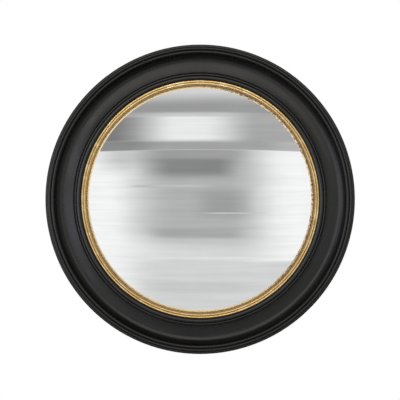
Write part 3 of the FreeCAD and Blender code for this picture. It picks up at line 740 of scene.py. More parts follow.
@dataclass(frozen=True)
class GoldLeaf(Finish):
    """Rubbed gold leaf over red-brown bole: lap lines, streaks and worn specks, with painted shade in the
    creases and towards the bottom, a dark line along the sight edge, and a painted lighter band on the upper
    bevel.
    """

    leaf: tuple = (0.70, 0.52, 0.245)
    pale: tuple = (0.86, 0.71, 0.42)
    deep: tuple = (0.50, 0.32, 0.115)
    bole: tuple = (0.19, 0.088, 0.040)
    bronze: tuple = (0.54, 0.34, 0.145)
    # paler tone painted on the upper bevel as light
    painted_bevel_light: tuple = (0.76, 0.66, 0.47)
    edge_tint: tuple = (0.95, 0.80, 0.52)
    bole_tint: tuple = (0.46, 0.29, 0.15)
    # dark tone for the painted shade in the creases and for the dark line along the sight edge
    glaze_and_shade: tuple = (0.055, 0.033, 0.015)
    leaf_count: float = 17.0
    reed_foot: float = 0.2236
    toned_level: float = 0.0315
    edge_level: float = 0.0262
    slope_blur: float = 0.0006
    tone_blur: float = 0.0008
    edge_blur: float = 0.0006
    lap_width: float = 0.035
    worn_side: float = math.radians(75.0)
    shine: float = 0.2
    streak_depth: float = 0.00010
    crackle_depth: float = 0.00003
    bare_depth: float = 0.00005
    lap_depth: float = 0.00002

    def paint(self, graph: Graph) -> None:
        """Lays the leaf round the slip, then rubs and specks it, and paints shade and light into its tone.

        Args:
            graph: node graph of the material.
        """
        ring = round_place(graph, along=20.0, across=2600.0)
        streak = graph.noise(ring.along, 1.0, detail=4.0, roughness=0.65, w=ring.w)
        cloud = graph.noise(graph.place(), 55.0, detail=4.0, roughness=0.6)
        crackle = graph.noise(graph.place(), 900.0, detail=3.0, roughness=0.6)
        speck = graph.noise(graph.place(), 420.0, detail=3.0, roughness=0.62)
        relief = graph.relief()

        leaves = graph.math("MULTIPLY", ring.angle, self.leaf_count / FULL_TURN)
        wander = graph.math("MULTIPLY", graph.math("SUBTRACT", cloud, 0.5), 0.25)
        across_lap = graph.math("PINGPONG", graph.math("ADD", leaves, wander), 0.5)
        lap = graph.ramp(across_lap, 0.0, self.lap_width, 1.0, 0.0)

        slope = graph.below(ring.radius, self.reed_foot, self.slope_blur)
        bevel = graph.below(ring.level, self.toned_level, self.tone_blur)
        edge = graph.ramp(ring.level, self.edge_level, self.edge_level + self.edge_blur, 1.0, 0.0)
        crease = graph.ramp(relief, -0.7, -0.10, 1.0, 0.0)
        worn = graph.ramp(speck, 0.61, 0.66)
        rubbed = graph.math("MULTIPLY", worn, graph.ramp(cloud, 0.48, 0.60))
        left_bare = graph.ramp(graph.math("ADD", speck, graph.math("MULTIPLY", edge, 0.10)), 0.50, 0.58)
        facing = graph.math("COSINE", graph.math("SUBTRACT", ring.angle, self.worn_side))
        blotch = graph.ramp(graph.noise(graph.place(), 170.0, detail=3.0, roughness=0.55), 0.52, 0.56)
        chipped = graph.math("MULTIPLY", graph.math("MAXIMUM", slope, crease), graph.ramp(facing, 0.1, 0.7))
        bare = graph.math("MULTIPLY_ADD", bevel, left_bare, rubbed)
        bare = graph.math("MINIMUM", graph.math("MULTIPLY_ADD", chipped, blotch, bare), 1.0)

        tone = graph.blend(graph.ramp(streak, 0.35, 0.65), self.deep, self.leaf)
        tone = graph.blend(graph.ramp(cloud, 0.45, 0.70, 0.0, 0.8), tone, self.pale)
        tone = graph.blend(graph.math("MULTIPLY", lap, 0.45), tone, self.deep)
        # painted shade: the leaf is darkened towards the bottom of the ring, as light falls from above
        lower = graph.ramp(graph.math("COSINE", ring.angle), 0.1, -0.9, 0.0, 0.45)
        tone = graph.blend(lower, tone, self.deep)
        # painted light: a paler band on the upper bevel, so it and its reflection in the glass read lighter
        tone = graph.blend(graph.math("MULTIPLY", slope, 0.85), tone, self.painted_bevel_light)
        tone = graph.blend(graph.math("MULTIPLY", bevel, 0.88), tone, self.bronze)
        tone = graph.blend(graph.math("MULTIPLY", bare, 0.90), tone, self.bole)
        # painted shade: the creases between the reeds are darkened
        tone = graph.blend(graph.math("MULTIPLY", crease, 0.42), tone, self.glaze_and_shade)
        # darkens the sight edge, where the slip meets the glass
        tone = graph.blend(graph.math("MULTIPLY", edge, 0.45), tone, self.glaze_and_shade)
        covered = graph.math("MAXIMUM", bare, graph.math("MULTIPLY", crease, 0.5))
        sheen = graph.ramp(streak, 0.3, 0.7, 0.40, 0.28)
        graph.surface(
            Base_Color=tone,
            Metallic=graph.math("SUBTRACT", 1.0, graph.math("MULTIPLY", covered, 0.85)),
            Specular_IOR_Level=self.shine,
            Specular_Tint=graph.blend(covered, self.edge_tint, self.bole_tint),
            Roughness=graph.math("ADD", sheen, graph.ramp(crease, 0.0, 1.0, 0.0, 0.2)),
            Normal=graph.bumps(
                (streak, self.streak_depth), (crackle, self.crackle_depth), (bare, -self.bare_depth),
                (lap, self.lap_depth),
            ),
        )


@dataclass(frozen=True)
class SilveredGlass(Finish):
    """Polished glass silvered behind: the mirror face, its ground edge and the grey backing paint."""

    silver: tuple = (0.93, 0.935, 0.935)
    hazed: tuple = (0.915, 0.922, 0.920)
    edge: tuple = (0.30, 0.42, 0.37)
    pale_edge: tuple = (0.42, 0.54, 0.49)
    backing: tuple = (0.215, 0.220, 0.225)
    dark_backing: tuple = (0.15, 0.155, 0.16)
    stroke_scale: tuple = (30.0, 30.0, 500.0)
    stroke_depth: float = 0.00006
    grinding_depth: float = 0.00003

    @cache
    def materials(self) -> tuple[bpy.types.Material, ...]:
        """Makes the three materials of a silvered glass.

        Returns:
            Mirror face, backing paint and ground edge.
        """
        return (
            painted(self.name, self.paint),
            painted(f"{self.name}_backing", self.paint_backing),
            painted(f"{self.name}_edge", self.paint_edge),
        )

    def paint(self, graph: Graph) -> None:
        """A clear reflection with the faintest haze of polishing.

        Args:
            graph: node graph of the material.
        """
        haze = graph.noise(graph.place(), 30.0, detail=4.0)
        graph.surface(
            Base_Color=graph.blend(graph.ramp(haze, 0.35, 0.65), self.silver, self.hazed),
            Metallic=1.0,
            Roughness=graph.ramp(haze, 0.4, 0.7, 0.006, 0.022),
        )

    def paint_backing(self, graph: Graph) -> None:
        """Brushed protective paint over the silver.

        Args:
            graph: node graph of the material.
        """
        brushed = graph.slanted(0.0, self.stroke_scale)
        stroke = graph.noise(brushed, 1.0, detail=4.0)
        graph.surface(
            Base_Color=graph.blend(graph.ramp(stroke, 0.3, 0.7), self.backing, self.dark_backing),
            Roughness=graph.ramp(stroke, 0.3, 0.7, 0.5, 0.65),
            Normal=graph.bumps((stroke, self.stroke_depth)),
        )

    def paint_edge(self, graph: Graph) -> None:
        """Ground glass edge, faintly green.

        Args:
            graph: node graph of the material.
        """
        ground = graph.noise(graph.place(), 1500.0, detail=3.0)
        graph.surface(
            Base_Color=graph.blend(graph.ramp(ground, 0.3, 0.7), self.edge, self.pale_edge),
            Roughness=graph.ramp(ground, 0.3, 0.7, 0.35, 0.6),
            Normal=graph.bumps((ground, self.grinding_depth)),
        )


@dataclass(frozen=True)
class Felt(Finish):
    """Dense black felt with a short nap."""

    dye: tuple = (0.010, 0.010, 0.011)
    nap: tuple = (0.032, 0.031, 0.031)
    sheen: float = 0.35
    nap_depth: float = 0.00025

    def paint(self, graph: Graph) -> None:
        """Matted fibres over soft clouds.

        Args:
            graph: node graph of the material.
        """
        fibres = graph.noise(graph.place(), 2400.0, detail=4.0, roughness=0.7, distortion=1.5)
        cloud = graph.noise(graph.place(), 60.0, detail=2.0)
        raised = graph.math("MULTIPLY", graph.ramp(fibres, 0.4, 0.7), cloud)
        graph.surface(
            Base_Color=graph.blend(raised, self.dye, self.nap),
            Roughness=graph.ramp(fibres, 0.3, 0.7, 0.88, 1.0),
            Sheen_Weight=self.sheen,
            Normal=graph.bumps((fibres, self.nap_depth)),
        )


@dataclass(frozen=True)
class PressedBoard(Finish):
    """Pressed wood fibre: a smooth or a sawn face with matted flecks."""

    face: tuple = (0.21, 0.125, 0.070)
    fleck: tuple = (0.31, 0.20, 0.12)
    dark: tuple = (0.105, 0.058, 0.032)
    fleck_scale: float = 420.0
    roughness: float = 0.55
    shine: float = 0.4
    tooth: float = 0.00003

    def paint(self, graph: Graph) -> None:
        """Scatters long flecks two ways over a clouded face.

        Args:
            graph: node graph of the material.
        """
        scale = self.fleck_scale
        one_way = graph.slanted(math.radians(28), (scale * 0.28, scale, scale))
        other_way = graph.slanted(math.radians(-47), (scale * 0.33, scale, scale * 1.2))
        long_flecks = graph.noise(one_way, 1.0, detail=3.0, distortion=0.6)
        cross_flecks = graph.noise(other_way, 1.0, detail=3.0, distortion=0.6)
        cloud = graph.noise(graph.place(), 7.0, detail=5.0, roughness=0.55)
        tone = graph.blend(graph.ramp(cloud, 0.3, 0.7, 0.0, 0.4), self.face, self.dark)
        tone = graph.blend(graph.ramp(long_flecks, 0.50, 0.72, 0.0, 0.45), tone, self.fleck)
        tone = graph.blend(graph.ramp(cross_flecks, 0.52, 0.74, 0.0, 0.5), tone, self.dark)
        tone = graph.blend(graph.ramp(graph.relief(), 0.3, 1.0, 0.0, 0.5), tone, self.fleck)
        scuff = graph.ramp(graph.noise(graph.place(), 22.0, detail=6.0, roughness=0.7), 0.55, 0.75, 0.0, 0.14)
        graph.surface(
            Base_Color=tone,
            Roughness=graph.math("ADD", self.roughness, scuff),
            Specular_IOR_Level=self.shine,
            Normal=graph.bumps((long_flecks, self.tooth), (cross_flecks, self.tooth)),
        )


@dataclass(frozen=True)
class PlatedSteel(Finish):
    """Zinc-plated or bright steel: a clouded sheen, fine scratches and a duller film in places."""

    metal: tuple = (0.62, 0.62, 0.60)
    film: tuple = (0.44, 0.43, 0.40)
    pit: tuple = (0.16, 0.14, 0.12)
    roughness: float = 0.30
    scratch_scale: float = 900.0
    scratch_depth: float = 0.000012

    def paint(self, graph: Graph) -> None:
        """Clouds, scratches across the piece, and tiny pits.

        Args:
            graph: node graph of the material.
        """
        cloud = graph.noise(graph.place(), 160.0, detail=4.0, roughness=0.6)
        scale = self.scratch_scale
        lines = graph.slanted(math.radians(35), (scale * 0.06, scale, scale))
        scratches = graph.noise(lines, 2.0, detail=4.0, roughness=0.7)
        pits = graph.ramp(graph.noise(graph.place(), 1900.0, detail=1.0), 0.66, 0.74)
        tone = graph.blend(graph.ramp(cloud, 0.35, 0.70), self.metal, self.film)
        tone = graph.blend(graph.math("MULTIPLY", pits, 0.5), tone, self.pit)
        clouding = graph.ramp(cloud, 0.3, 0.7, 0.0, 0.16)
        rough = graph.math("ADD", clouding, graph.ramp(scratches, 0.4, 0.7, -0.05, 0.08))
        graph.surface(
            Base_Color=tone,
            Metallic=1.0,
            Roughness=graph.math("ADD", rough, self.roughness),
            Normal=graph.bumps((scratches, self.scratch_depth), (pits, -self.scratch_depth)),
        )


@dataclass(frozen=True)
class MouldedRubber(Finish):
    """Matt black rubber with a faint bloom and a fine moulded skin."""

    rubber: tuple = (0.018, 0.018, 0.018)
    bloom: tuple = (0.060, 0.060, 0.058)
    shine: float = 0.4
    skin_depth: float = 0.00003

    def paint(self, graph: Graph) -> None:
        """A grained skin with a grey bloom on top.

        Args:
            graph: node graph of the material.
        """
        skin = graph.noise(graph.place(), 1300.0, detail=3.0)
        cloud = graph.noise(graph.place(), 130.0, detail=4.0)
        rubbed = graph.ramp(graph.relief(), 0.2, 0.9, 0.0, 0.2)
        share = graph.math("ADD", graph.ramp(cloud, 0.45, 0.75, 0.0, 0.5), rubbed)
        graph.surface(
            Base_Color=graph.blend(share, self.rubber, self.bloom),
            Roughness=graph.ramp(cloud, 0.3, 0.7, 0.60, 0.78),
            Specular_IOR_Level=self.shine,
            Normal=graph.bumps((skin, self.skin_depth)),
        )


LACQUER = EbonisedLacquer("ebonised_lacquer")
STAIN = BackStain("stained_back")
LEAF = GoldLeaf("leaf_over_bole")
SILVER = SilveredGlass("silvering")
FELT = Felt("felt")
FIBREBOARD = PressedBoard(
    "fibreboard", face=(0.34, 0.235, 0.140), fleck=(0.45, 0.33, 0.21), dark=(0.22, 0.14, 0.08),
    fleck_scale=700.0, roughness=0.8, tooth=0.00008,
)
HARDBOARD = PressedBoard("pressed_board")
ZINC = PlatedSteel("zinc_plate")
TUMBLED = PlatedSteel("tumbled_zinc", metal=(0.56, 0.54, 0.50), film=(0.38, 0.36, 0.32), roughness=0.38)
BRIGHT = PlatedSteel("bright_wire", metal=(0.55, 0.55, 0.54), film=(0.36, 0.35, 0.33), roughness=0.25)
RUBBER = MouldedRubber("moulded_rubber")


# ---------------------------------------------------------------------------------------------------------
# Screws
# ---------------------------------------------------------------------------------------------------------


class Head(Enum):
    """Form of a screw's head."""

    PAN = "pan"
    COUNTERSUNK = "countersunk"


@dataclass(frozen=True)
class CrossScrew:
    """One kind of screw with a cross recess, its head towards the wall."""

    head: Head
    head_radius: float
    head_height: float
    shank_radius: float
    recess_span: float
    recess_width: float
    recess_depth: float
    taper: float = 0.72
    dome_share: float = 0.6
    point_share: float = 1.5
    flat_rings: tuple[float, ...] = (0.4, 0.8)
    rim_rounding: float = 0.0002
    seat_rounding: float = 0.0001
    flat_rounding: float = 0.00012
    step: float = 0.0004

    def mesh(self, spot: Vector, crown: float, tip: float) -> bmesh.types.BMesh:
        """Builds one screw.

        Args:
            spot: where its axis stands.
            crown: level of the top of its head.
            tip: level of its point.

        Returns:
            The screw's mesh.
        """
        seat = crown + self.head_height
        outline = Outline(0, crown, soften=0.0, longest=self.step)
        if self.head is Head.PAN:
            rise = self.head_height * self.dome_share
            dome = (self.head_radius ** 2 + rise ** 2) / (2 * rise)
            outline.arc(self.head_radius, crown + rise, dome, Bend.ROUND, self.rim_rounding)
            outline.line(self.head_radius, seat, self.seat_rounding)
        else:
            for share in self.flat_rings:
                outline.line(self.head_radius * share, crown)
            outline.line(self.head_radius, crown, self.flat_rounding)
        outline.line(self.shank_radius, seat)
        outline.line(self.shank_radius, tip - self.point_share * self.shank_radius)
        outline.line(0, tip)
        mesh = outline.turned(SMALL_STEPS)
        self.cut_recess(mesh, crown)
        bmesh.ops.translate(mesh, verts=mesh.verts[:], vec=spot)
        return mesh

    def in_cross(self, x: float, z: float) -> bool:
        """Whether a place on the head lies in the cross."""
        wide, long = self.recess_width / 2, self.recess_span / 2
        return (abs(x) < wide and abs(z) < long) or (abs(z) < wide and abs(x) < long)

    def crown_faces(self, mesh: bmesh.types.BMesh, crown: float) -> list[bmesh.types.BMFace]:
        """Finds the faces on the outside of the head, near its middle.

        Args:
            mesh: the screw, with its axis at the origin.
            crown: level of the top of its head.

        Returns:
            The faces.
        """
        found = []
        for face in mesh.faces:
            middle = face.calc_center_median()
            near_crown = -middle.y < crown + self.recess_span / 4
            if near_crown and math.hypot(middle.x, middle.z) < self.recess_span:
                found.append(face)
        return found

    def cut_recess(self, mesh: bmesh.types.BMesh, crown: float) -> None:
        """Scores the head along the cross's sides and sinks what lies between them.

        Args:
            mesh: the screw, with its axis at the origin.
            crown: level of the top of its head.
        """
        for direction in (ACROSS, UP):
            for offset in (self.recess_width / 2, self.recess_span / 2):
                for side in (-1, 1):
                    faces = self.crown_faces(mesh, crown)
                    edges = {edge for face in faces for edge in face.edges}
                    verts = {vertex for face in faces for vertex in face.verts}
                    bmesh.ops.bisect_plane(
                        mesh, geom=[*faces, *edges, *verts], dist=MERGE_DISTANCE,
                        plane_co=direction * (side * offset), plane_no=direction,
                    )
        cross = [
            face for face in self.crown_faces(mesh, crown)
            if self.in_cross(face.calc_center_median().x, face.calc_center_median().z)
        ]
        sunk = bmesh.ops.extrude_face_region(mesh, geom=cross)["geom"]
        floor = [item for item in sunk if isinstance(item, bmesh.types.BMVert)]
        bmesh.ops.delete(mesh, geom=[face for face in cross if face.is_valid], context="FACES_KEEP_BOUNDARY")
        bmesh.ops.scale(mesh, verts=floor, vec=(self.taper, 1.0, self.taper))
        bmesh.ops.translate(mesh, verts=floor, vec=TO_VIEWER * self.recess_depth)


COUNTERSUNK_SCREW = CrossScrew(
    Head.COUNTERSUNK, head_radius=0.0040, head_height=0.0020, shank_radius=0.0020,
    recess_span=0.0046, recess_width=0.0011, recess_depth=0.0013,
)
PAN_SCREW = CrossScrew(
    Head.PAN, head_radius=0.0032, head_height=0.0020, shank_radius=0.0015,
    recess_span=0.0036, recess_width=0.0009, recess_depth=0.0011,
)


# ---------------------------------------------------------------------------------------------------------
# Frame
# ---------------------------------------------------------------------------------------------------------


@dataclass
class MouldedFrame:
    """Ebonised front moulding, the stained ring behind it, and the screws that hold the two together."""

    moulding_width: float = 0.0529
    shoulder_width: float = 0.0044
    shoulder_drop: float = 0.0040
    shoulder_rounding: float = 0.0020
    reed_width: float = 0.0063
    reed_height: float = 0.0025
    scoop_batter: float = 0.0007
    scoop_depth: float = 0.0220
    cove_radius: float = 0.0155
    lip_rise: float = 0.0033
    side_foot: float = 0.0120
    side_cove: float = 0.0080
    rebate_width: float = 0.0059
    rebate_depth: float = 0.0090
    cove_arris: float = 0.0005
    fine_arris: float = 0.0002
    valley_rounding: float = 0.0013
    lip_arris: float = 0.0004
    ring_arris: float = 0.0006
    ring_edge: float = 0.0010
    screw: CrossScrew = COUNTERSUNK_SCREW
    screw_count: int = 8
    screw_inset: float = 0.0110
    screw_length: float = 0.0300
    screw_spin: float = 37.0
    hole_clearance: float = 0.0001
    drill_overshoot: float = 0.001
    moulding: Reach = field(default_factory=lambda: reach("front_moulding"))
    ring: Reach = field(default_factory=lambda: reach("back_ring"))

    @property
    def lip_radius(self) -> float:
        """Radius of the moulding's sight edge."""
        return self.moulding.radius - self.moulding_width

    @property
    def stack_radius(self) -> float:
        """Radius of the rebate that holds slips, glass and board."""
        return self.lip_radius + self.rebate_width

    def build_moulding(self) -> bpy.types.Object:
        """Turns the front moulding: coved side, shoulder, two reeds, deep scoop and sight lip.

        Returns:
            The moulding.
        """
        outer, seam, rim = self.moulding.radius, self.moulding.back, self.moulding.front
        foot, waist = outer - self.side_cove, seam + self.side_foot
        shoulder, reeds = rim - self.shoulder_drop, rim - self.reed_height
        reed_start = outer - self.shoulder_width
        reed_arc = (self.reed_width ** 2 / 4 + self.reed_height ** 2) / (2 * self.reed_height)
        reed_end = reed_start - 2 * self.reed_width
        scoop = rim - self.scoop_depth
        scoop_radius = reed_end - self.scoop_batter - self.cove_radius
        sweep = scoop_radius - self.lip_radius
        sweep_arc = (sweep ** 2 + self.lip_rise ** 2) / (2 * self.lip_rise)
        outline = Outline(self.stack_radius, seam)
        outline.line(foot, seam)
        outline.line(foot, waist)
        outline.arc(outer, waist + self.side_cove, self.side_cove, Bend.HOLLOW, self.cove_arris)
        outline.line(outer, shoulder - self.shoulder_rounding)
        outline.arc(outer - self.shoulder_rounding, shoulder, self.shoulder_rounding, Bend.ROUND)
        outline.line(reed_start, shoulder, self.fine_arris)
        outline.line(reed_start, reeds, self.fine_arris)
        outline.arc(reed_start - self.reed_width, reeds, reed_arc, Bend.ROUND, self.valley_rounding)
        outline.arc(reed_end, reeds, reed_arc, Bend.ROUND)
        outline.line(reed_end - self.scoop_batter, scoop + self.cove_radius, self.fine_arris)
        outline.arc(scoop_radius, scoop, self.cove_radius, Bend.HOLLOW)
        outline.arc(self.lip_radius, scoop + self.lip_rise, sweep_arc, Bend.HOLLOW, self.lip_arris)
        outline.line(self.lip_radius, seam + self.rebate_depth)
        outline.line(self.stack_radius, seam + self.rebate_depth)
        piece = as_piece(outline.close().turned(), "moulding")
        return dress(piece, LACQUER, "ebonised_wood", "front_moulding")

    def turns(self) -> list[Matrix]:
        """Where the frame screws stand, as turns from straight up."""
        return [about_axis(FULL_TURN * (i + 0.5) / self.screw_count) for i in range(self.screw_count)]

    def screw_spot(self) -> Vector:
        """The place straight above the axis that every screw is turned from."""
        return UP * (self.ring.radius - self.screw_inset)

    def build_ring(self) -> bpy.types.Object:
        """Turns the back ring and sinks the countersunk holes into it.

        Returns:
            The ring.
        """
        back, front = self.ring.back, self.ring.front
        outline = Outline(self.stack_radius, back, soften=self.ring_arris)
        outline.line(self.ring.radius, back, self.ring_edge).line(self.ring.radius, front)
        outline.line(self.stack_radius, front)
        piece = as_piece(outline.close().turned(), "build_up_ring")
        head = self.screw.head_radius + self.hole_clearance
        shank = self.screw.shank_radius + self.hole_clearance
        outside = self.drill_overshoot
        hole = Outline(0, back - outside, soften=0.0)
        hole.line(head + outside, back - outside).line(shank, back + head - shank)
        hole.line(shank, front + outside).line(0, front + outside)
        holes = hole.turned(SMALL_STEPS)
        bmesh.ops.translate(holes, verts=holes.verts[:], vec=self.screw_spot())
        repeated(holes, self.turns(), [0.0] * self.screw_count, self.screw_spot())
        return dress(drilled(piece, holes), STAIN, "back_stain", "back_ring")

    def build_screws(self) -> bpy.types.Object:
        """Sets in the countersunk screws, each with its recess at its own angle.

        Returns:
            The screws.
        """
        mesh = self.screw.mesh(self.screw_spot(), self.ring.back, self.ring.back + self.screw_length)
        spins = [math.radians(self.screw_spin * i) for i in range(self.screw_count)]
        repeated(mesh, self.turns(), spins, self.screw_spot())
        return dress(as_piece(mesh, "ring_screws"), ZINC, "zinc_steel", "frame_screws")

    def build(self) -> None:
        """Builds the moulding, the ring and their screws."""
        self.build_moulding()
        self.build_ring()
        self.build_screws()


@dataclass
class Slips:
    """The black slip with its quirk, fillet and bead, and the gilt slip with its two fine reeds."""

    frame: MouldedFrame
    quirk_width: float = 0.0023
    quirk_height: float = 0.0025
    quirk_arc: float = 0.00115
    fillet_width: float = 0.0027
    fillet_height: float = 0.0050
    bead_foot: float = 0.0045
    bead_height: float = 0.0030
    slip_clearance: float = 0.0002
    black_width: float = 0.0148
    gilt_rebate: float = 0.0056
    gilt_flange: float = 0.0050
    gilt_reed: float = 0.0043
    gilt_reed_height: float = 0.0014
    gilt_bevel: float = 0.0019
    slip_arris: float = 0.0002
    fillet_rounding: float = 0.0009
    bead_quirk: float = 0.0004
    gilt_valley: float = 0.00018
    bevel_arris: float = 0.00015
    black_step: float = 0.0008
    gilt_step: float = 0.0005
    black: Reach = field(default_factory=lambda: reach("black_slip"))
    gilt: Reach = field(default_factory=lambda: reach("gilt_slip"))

    @property
    def black_sight(self) -> float:
        """Radius of the black slip's sight edge."""
        return self.frame.lip_radius - self.black_width

    @property
    def gilt_body(self) -> float:
        """Outer radius of the gilt slip where it stands inside the black one."""
        return self.black_sight - self.slip_clearance

    @property
    def sight(self) -> float:
        """Radius of the glass that shows."""
        return self.gilt_body - 2 * self.gilt_reed - self.gilt_bevel

    def build_black(self) -> bpy.types.Object:
        """Turns the black slip over its flange.

        Returns:
            The slip.
        """
        lip = self.frame.moulding.back + self.frame.rebate_depth
        lip_radius, back = self.frame.lip_radius, self.black.back
        side, fillet_top = lip_radius - self.slip_clearance, lip + self.fillet_height
        fillet = lip_radius - self.quirk_width
        bead = fillet - self.fillet_width
        width = bead - self.black_sight
        bead_arc = (width ** 2 / 4 + self.bead_height ** 2) / (2 * self.bead_height)
        rebate = self.black_sight + self.gilt_rebate
        outline = Outline(rebate, back, soften=self.slip_arris, longest=self.black_step)
        outline.line(self.black.radius, back).line(self.black.radius, lip)
        outline.line(side, lip)
        outline.line(side, lip + self.quirk_height)
        outline.arc(fillet, lip + self.quirk_height, self.quirk_arc, Bend.HOLLOW)
        outline.line(fillet, fillet_top, self.fillet_rounding)
        outline.line(bead, fillet_top, self.fillet_rounding)
        outline.line(bead, lip + self.bead_foot, self.bead_quirk)
        outline.arc(self.black_sight, lip + self.bead_foot, bead_arc, Bend.ROUND)
        outline.line(self.black_sight, back + self.gilt_flange).line(rebate, back + self.gilt_flange)
        piece = as_piece(outline.close().turned(), "beaded_slip")
        return dress(piece, LACQUER, "ebonised_wood", "black_slip")

    def build_gilt(self) -> bpy.types.Object:
        """Turns the gilt slip, with its steep bevel down to the glass.

        Returns:
            The slip.
        """
        back, flange = self.gilt.back, self.gilt.back + self.gilt_flange
        foot = self.gilt.front - self.gilt_reed_height
        reed_arc = (self.gilt_reed ** 2 / 4 + self.gilt_reed_height ** 2) / (2 * self.gilt_reed_height)
        outline = Outline(self.sight, back, soften=self.slip_arris, longest=self.gilt_step)
        outline.line(self.gilt.radius, back).line(self.gilt.radius, flange)
        outline.line(self.gilt_body, flange).line(self.gilt_body, foot)
        outline.arc(self.gilt_body - self.gilt_reed, foot, reed_arc, Bend.ROUND, self.gilt_valley)
        outline.arc(self.gilt_body - 2 * self.gilt_reed, foot, reed_arc, Bend.ROUND, self.bevel_arris)
        piece = as_piece(outline.close().turned(), "gilded_slip")
        return dress(piece, LEAF, "gold_leaf", "gilt_slip")

    def build(self) -> None:
        """Builds both slips and dresses the brads that pin them."""
        self.build_black()
        self.build_gilt()
        for node in ("black_slip_brads", "gilt_slip_brads"):
            dress_node(node, BRIGHT)


# ---------------------------------------------------------------------------------------------------------
# Glass and what holds it
# ---------------------------------------------------------------------------------------------------------


@dataclass
class GlassStack:
    """Convex glass, its felt bedding, the ring that carries it and the board that closes the back."""

    slips: Slips
    curvature: float = 0.900
    glass_thickness: float = 0.003
    bedding_gap: float = 0.0005
    bedding_clearance: float = 0.00015
    bedding_inset: float = 0.0010
    bedding_edge_inset: float = 0.0034
    edge_clearance: float = 0.0006
    ledge_width: float = 0.0120
    seat_clearance: float = 0.0002
    glass_arris: float = 0.0004
    glass_step: float = 0.004
    face_slope: float = math.radians(25)
    felt_arris: float = 0.0001
    felt_edge: float = 0.0004
    board_arris: float = 0.0005
    glass: Reach = field(default_factory=lambda: reach("convex_mirror_glass"))
    board: Reach = field(default_factory=lambda: reach("backing_board"))
    carrier: Reach = field(default_factory=lambda: reach("glass_carrier_ring"))

    @property
    def centre(self) -> float:
        """Level of the centre that both faces of the glass are struck from."""
        at_sight = self.slips.gilt.back - self.bedding_gap
        return at_sight - math.sqrt(self.curvature ** 2 - self.slips.sight ** 2)

    @property
    def behind(self) -> float:
        """Radius of the silvered face of the glass."""
        return self.curvature - self.glass_thickness

    def level(self, sphere: float, radius: float) -> float:
        """Level of a sphere about the glass's centre at a radius from the axis."""
        return self.centre + math.sqrt(sphere ** 2 - radius ** 2)

    def build_glass(self) -> bpy.types.Object:
        """Turns the shell of glass, and parts its mirror face, backing and edge.

        Returns:
            The glass.
        """
        edge, behind = self.glass.radius, self.behind
        outline = Outline(0, self.level(behind, 0), soften=self.glass_arris, longest=self.glass_step)
        outline.arc(edge, self.level(behind, edge), behind, Bend.HOLLOW)
        outline.line(edge, self.level(self.curvature, edge))
        outline.arc(0, self.level(self.curvature, 0), self.curvature, Bend.ROUND)
        mesh = outline.turned()
        bmesh.ops.recalc_face_normals(mesh, faces=mesh.faces[:])
        slope = math.cos(self.face_slope)
        for face in mesh.faces:
            facing = face.normal.dot(TO_VIEWER)
            face.material_index = 0 if facing > slope else 1 if facing < -slope else 2
        piece = as_piece(mesh, "convex_glass")
        return dress(piece, SILVER, "silvered_glass", "convex_mirror_glass")

    def build_bedding(self) -> bpy.types.Object:
        """Turns the felt strip between the gilt slip and the glass.

        Returns:
            The strip.
        """
        inner = self.slips.sight + self.bedding_inset
        outer = self.glass.radius - self.bedding_edge_inset
        sphere = self.curvature + self.bedding_clearance
        front = self.slips.gilt.back
        outline = Outline(inner, self.level(sphere, inner), soften=self.felt_arris)
        outline.arc(outer, self.level(sphere, outer), sphere, Bend.HOLLOW, self.felt_edge)
        outline.line(outer, front, self.felt_edge).line(inner, front)
        piece = as_piece(outline.close().turned(), "felt_bedding")
        return dress(piece, FELT, "black_felt", "glass_bedding_strip")

    def build_carrier(self) -> bpy.types.Object:
        """Turns the rebated ring that presses the glass forward.

        Returns:
            The carrier ring.
        """
        ledge = self.glass.radius - self.ledge_width
        rebate = self.glass.radius + self.edge_clearance
        seat = self.level(self.behind, self.glass.radius) - self.seat_clearance
        outline = Outline(ledge, self.carrier.back)
        outline.line(self.carrier.radius, self.carrier.back).line(self.carrier.radius, self.carrier.front)
        outline.line(rebate, self.carrier.front).line(rebate, seat).line(ledge, seat)
        piece = as_piece(outline.close().turned(), "carrier_ring")
        return dress(piece, FIBREBOARD, "carrier_board", "glass_carrier_ring")

    def build_board(self) -> bpy.types.Object:
        """Turns the flat backing board.

        Returns:
            The board.
        """
        outline = Outline(0, self.board.back, soften=self.board_arris)
        outline.line(self.board.radius, self.board.back).line(self.board.radius, self.board.front)
        outline.line(0, self.board.front)
        piece = as_piece(outline.turned(), "hardboard_back")
        return dress(piece, HARDBOARD, "hardboard", "backing_board")

    def build(self) -> None:
        """Builds the glass and its packing."""
        self.build_glass()
        self.build_bedding()
        self.build_carrier()
        self.build_board()


# ---------------------------------------------------------------------------------------------------------
# Turn buttons
# ---------------------------------------------------------------------------------------------------------


